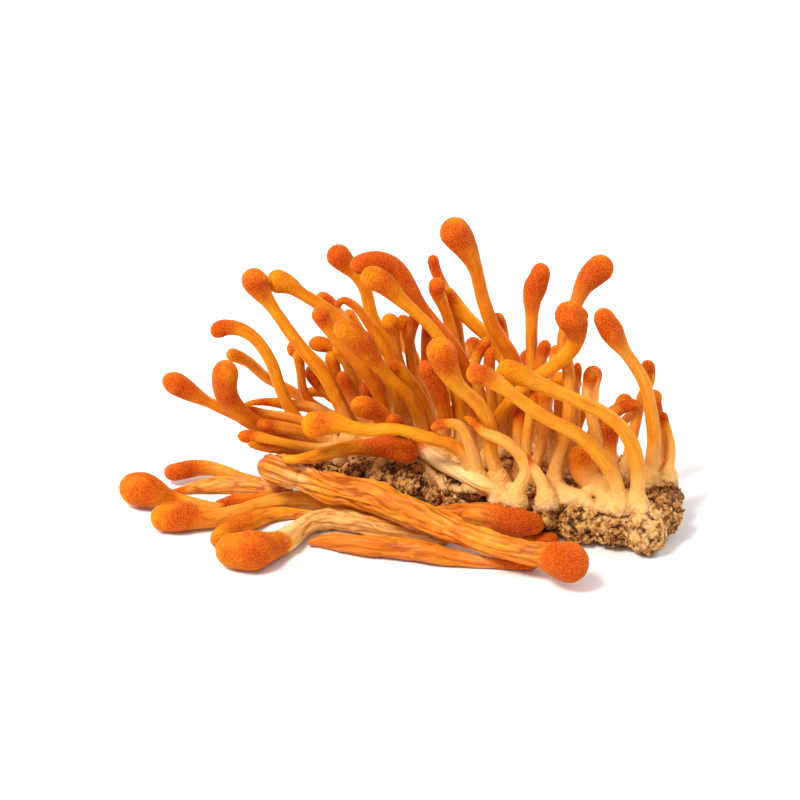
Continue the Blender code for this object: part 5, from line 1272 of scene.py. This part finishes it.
def club_finish(name, fibre_width, fibre_depth):
    """The skin of clubs: pimples on the head, fibres along the stem, and light that seeps into both."""
    material, tree, shader = new_material(name, (0.80, 0.26, 0.03))
    plus, minus, times = [partial(reckon, tree, kind) for kind in ("ADD", "SUBTRACT", "MULTIPLY")]
    masks, tints, grown = [wire(tree, "Attribute", attribute_name=mark).outputs["Vector"]
                           for mark in ("masks", "tints", "grown")]
    pimples = wire(tree, "Group", {"Size": PIMPLE_GRAIN}, node_tree=pimple_group)
    fibres = wire(tree, "Group", {"Grown": grown, "Width": fibre_width}, node_tree=fibre_group)
    flesh = wire(tree, "Group", {"Masks": masks, "Tints": tints, "Streak": fibres.outputs["Streak"],
                                 "Dot": pimples.outputs["Dot"], "Gap": pimples.outputs["Gap"]},
                 node_tree=flesh_group)
    tree.links.new(flesh.outputs["Color"], shader.inputs["Base Color"])
    tree.links.new(flesh.outputs["Roughness"], shader.inputs["Roughness"])
    set_sockets(shader, Subsurface_Weight=0.15, Subsurface_Radius=(1.0, 0.35, 0.1), Subsurface_Scale=0.0009)
    set_sockets(shader, Sheen_Weight=0.35, Sheen_Roughness=0.4, Sheen_Tint=(1.0, 0.45, 0.06, 1))
    set_sockets(shader, Specular_IOR_Level=0.08, Coat_Roughness=0.42)
    head = wire(tree, "SeparateXYZ", {0: masks}).outputs[0]
    bare = minus(1.0, head)
    tree.links.new(times(bare, SATIN), shader.inputs["Coat Weight"])
    raised = times(pimples.outputs["Height"], plus(head, PIMPLES_ON_STEM))
    height = plus(raised, times(times(fibres.outputs["Height"], bare), fibre_depth))
    bump = wire(tree, "Bump", {"Height": height, "Strength": 1.0, "Distance": 0.00018})
    tree.links.new(bump.outputs["Normal"], shader.inputs["Normal"])
    return material


# Corners round a club, and the spacing of its rings over the head and along the stem
CLUB_SIDES, CLUB_FINE, CLUB_COARSE = 52, 0.27, 0.75
fresh_finish = club_finish("fresh_club", 0.55, 0.6)
for name in club_names:
    if name.startswith("club_"):
        (club,) = [club for club in clubs if club[0] == name]
        piece = one_piece(name + "_skin", [club_skin(club, CLUB_SIDES, CLUB_FINE, CLUB_COARSE)])
        piece.data.materials.append(fresh_finish)
        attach(piece, "root")
        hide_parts(name)


# Clumps: small clubs that rose together from one low pad of cream threads and flesh, three to five to a
# pad, with small knobby heads. Some are darker and drier than the large clubs beside them.
PAD_RADIUS, PAD_EDGE = 2.5, 1.1
PAD_SIDES, PAD_RINGS, PAD_HOLE = 44, 14, 0.04
# The pad's rim lies this far below the feet. Its dome has this height and power, a flatter top at this
# height above the feet, and a middle, from which its roughness points, this far below them
PAD_SUNK, PAD_DOME, PAD_POWER, PAD_TOP, PAD_MIDDLE = 0.9, 2.6, 0.7, 1.6, 1.0
PAD_ROUGH, PAD_SEED = ((0.3, 1.5), (0.14, 0.6)), 200
PAD_MASKS, PAD_TINTS, PAD_GROWN = (0.0, 1.0, 0.6), (0.4, 0.2, 0.5), (1, 1, 3)
CLUMP_SIDES, CLUMP_FINE, CLUMP_COARSE = 30, 0.33, 0.9
# Tones of a clump's heads and stems: their middle, their swing, and how fast they turn from clump to
# clump and from club to club
HEAD_TONES, STEM_TONES, CLUMP_BLEACH = (0.45, 0.3, 2.1, 1.3), (0.4, 0.25, 1.7, 2.3), 0.1


def pad_skin(members, seed):
    """The low domed pad under a clump's feet, rough at its edge."""
    feet = np.array([points[-1] for _, points, _, _, _ in members])
    middle = feet.mean(0)
    radius = max(PAD_RADIUS, np.linalg.norm((feet - middle)[:, :2], axis=1).max() + PAD_EDGE)
    out = np.linspace(PAD_HOLE, 1, PAD_RINGS)[:, None]
    angle = np.arange(PAD_SIDES) * 2 * math.pi / PAD_SIDES
    rise = FOOT_TOP - PAD_SUNK + PAD_DOME * np.cos(out * math.pi / 2) ** PAD_POWER
    grid = np.stack([middle[0] + radius * out * np.cos(angle), middle[1] + radius * out * np.sin(angle),
                     np.broadcast_to(rise, (PAD_RINGS, PAD_SIDES))], axis=-1).reshape(-1, 3)
    outward = grid - (*middle[:2], FOOT_TOP - PAD_MIDDLE)
    outward /= np.linalg.norm(outward, axis=1)[:, None]
    grid = grid + outward * layered(grid, PAD_ROUGH, seed)[:, None]
    points = np.vstack([grid, [(*middle[:2], FOOT_TOP + PAD_TOP)]])
    quads = np.roll(tube_faces(PAD_RINGS, PAD_SIDES)[:, ::-1], 1, axis=1).tolist()
    fan = [(PAD_RINGS * PAD_SIDES, k, (k + 1) % PAD_SIDES) for k in range(PAD_SIDES)]
    masks, tints = [np.tile(values, (len(points), 1)) for values in (PAD_MASKS, PAD_TINTS)]
    return points, quads + fan, masks, tints, points * PAD_GROWN


def turning(number, k, middle, swing, by_clump, by_club):
    """A tone that changes from clump to clump and from club to club."""
    return middle + swing * math.sin(by_clump * number + by_club * k)


FORKS = ("clump_forked_foot", "clump_pale_foot")
for number, name in enumerate(club_names):
    if name.startswith("clump_") and name not in FORKS:
        members = [club for club in clubs if club[0] == name]
        skins = [pad_skin(members, PAD_SEED + number)]
        for k, member in enumerate(members):
            tones = (turning(number, k, *HEAD_TONES), turning(number, k, *STEM_TONES), CLUMP_BLEACH)
            skins.append(club_skin(member, CLUMP_SIDES, CLUMP_FINE, CLUMP_COARSE, tones=tones))
        piece = one_piece(name + "_skin", skins)
        piece.data.materials.append(fresh_finish)
        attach(piece, "root")
        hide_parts(name)


# The forked foot and the pale foot: two clubs that branch just above the crust, torn and bleached at the
# foot, with coarse cream fibres that run out into the crust.
# A branch's ring spacing along the stem, how deep its folds are, and how pimpled it is; the torn branch
# has no head
BRANCH, TORN_BRANCH = (0.7, 0.05, 1.0), (0.45, 0.16, 0.0)
BRANCHES = {
    "clump_forked_foot": [((0.5, 0.25, 0.25), BRANCH), ((0.5, 0.2, 0.6), BRANCH)],
    "clump_pale_foot": [((0.2, 0.3, 0.0), BRANCH), ((0.4, 0.3, 0.3), BRANCH), ((0.3, 0.2, 1.0), TORN_BRANCH)],
}
BRANCH_SIDES, BRANCH_FINE = 52, 0.3
bleached_finish = club_finish("bleached_club", 0.4, 1.4)
for name in FORKS:
    members = [club for club in clubs if club[0] == name]
    skins = []
    for member, (tones, (coarse, folds, pimpled)) in zip(members, BRANCHES[name]):
        skins.append(club_skin(member, BRANCH_SIDES, BRANCH_FINE, coarse, folds=folds,
                               tones=tones, pimpled=pimpled))
    piece = one_piece(name + "_skin", skins)
    piece.data.materials.append(bleached_finish)
    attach(piece, "root")
    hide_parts(name)


# Lying clubs: picked ones, a day or two drier than the tuft. Their stems have shrunk into long folds
# with cream ridges, and their heads stay round, matt and pimpled.
FOLDS = {"lying_long_top": 0.27, "lying_lowest": 0.27, "lying_front_big_head": 0.2, "lying_flat_pointed": 0.2,
         "lying_grooved": 0.18, "lying_second_front": 0.16, "lying_middle_left": 0.12, "lying_on_crust": 0.12}
USUAL_FOLDS = 0.07
LYING_SIDES, LYING_FINE, LYING_COARSE = 72, 0.27, 0.55
picked_finish = club_finish("picked_club", 0.5, 3.2)
for name in club_names:
    if name.startswith("lying_"):
        (club,) = [club for club in clubs if club[0] == name]
        skin = club_skin(club, LYING_SIDES, LYING_FINE, LYING_COARSE,
                         folds=FOLDS.get(name, USUAL_FOLDS), rooted=False)
        piece = one_piece(name + "_skin", [skin])
        piece.data.materials.append(picked_finish)
        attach(piece, "root")
        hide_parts(name)


# The studio: a white table under a pale surround. A soft key light stands close above the front left, and
# two broad rim lights low behind on the left and the right pick the stems out of the tuft.
FLOOR_HALF = 2.0
FLOOR_WHITES = (0.90, 0.90, 0.90, 1), (0.92, 0.92, 0.92, 1)
FLOOR_GRIT, FLOOR_RANGE = 0.004, (0.3, 0.7)
floor_mesh = bpy.data.meshes.new("floor")
floor_corners = [(x * FLOOR_HALF, y * FLOOR_HALF, 0) for x, y in ((-1, -1), (1, -1), (1, 1), (-1, 1))]
floor_mesh.from_pydata(floor_corners, [], [(0, 1, 2, 3)])
floor = bpy.data.objects.new("floor", floor_mesh)
bpy.context.scene.collection.objects.link(floor)
floor_finish, tree, shader = new_material("white_table", (0.9, 0.9, 0.9))
grit = wire(tree, "Group", {"Size": FLOOR_GRIT}, node_tree=grit_group)
paper = blended(tree, spread(tree, grit.outputs["Speck"], *FLOOR_RANGE), *FLOOR_WHITES)
tree.links.new(paper, shader.inputs["Base Color"])
set_sockets(shader, Roughness=0.9, Specular_IOR_Level=0.1)
floor_mesh.materials.append(floor_finish)

world = bpy.data.worlds.new("surround")
world.use_nodes = True
world.node_tree.nodes["Background"].inputs["Color"].default_value = (1, 1, 1, 1)
world.node_tree.nodes["Background"].inputs["Strength"].default_value = 0.58
bpy.context.scene.world = world
bpy.context.scene.view_settings.view_transform = "Standard"
TUFT_MIDDLE = Vector((0, 0, 0.02))


def soft_light(name, place, size, power, colour):
    """A broad square light that faces the bunch."""
    lamp = bpy.data.lights.new(name, "AREA")
    lamp.size = size
    lamp.energy = power
    lamp.color = colour
    thing = bpy.data.objects.new(name, lamp)
    thing.location = place
    thing.rotation_euler = (TUFT_MIDDLE - Vector(place)).to_track_quat("-Z", "Y").to_euler()
    bpy.context.scene.collection.objects.link(thing)


soft_light("key_light", (-0.3, -0.3, 0.6), 0.22, 5.4, (1.0, 0.98, 0.95))
soft_light("left_rim_light", (-0.5, 0.3, 0.3), 0.3, 1.8, (1.0, 1.0, 1.0))
soft_light("right_rim_light", (0.5, 0.35, 0.35), 0.3, 2.4, (1.0, 1.0, 1.0))
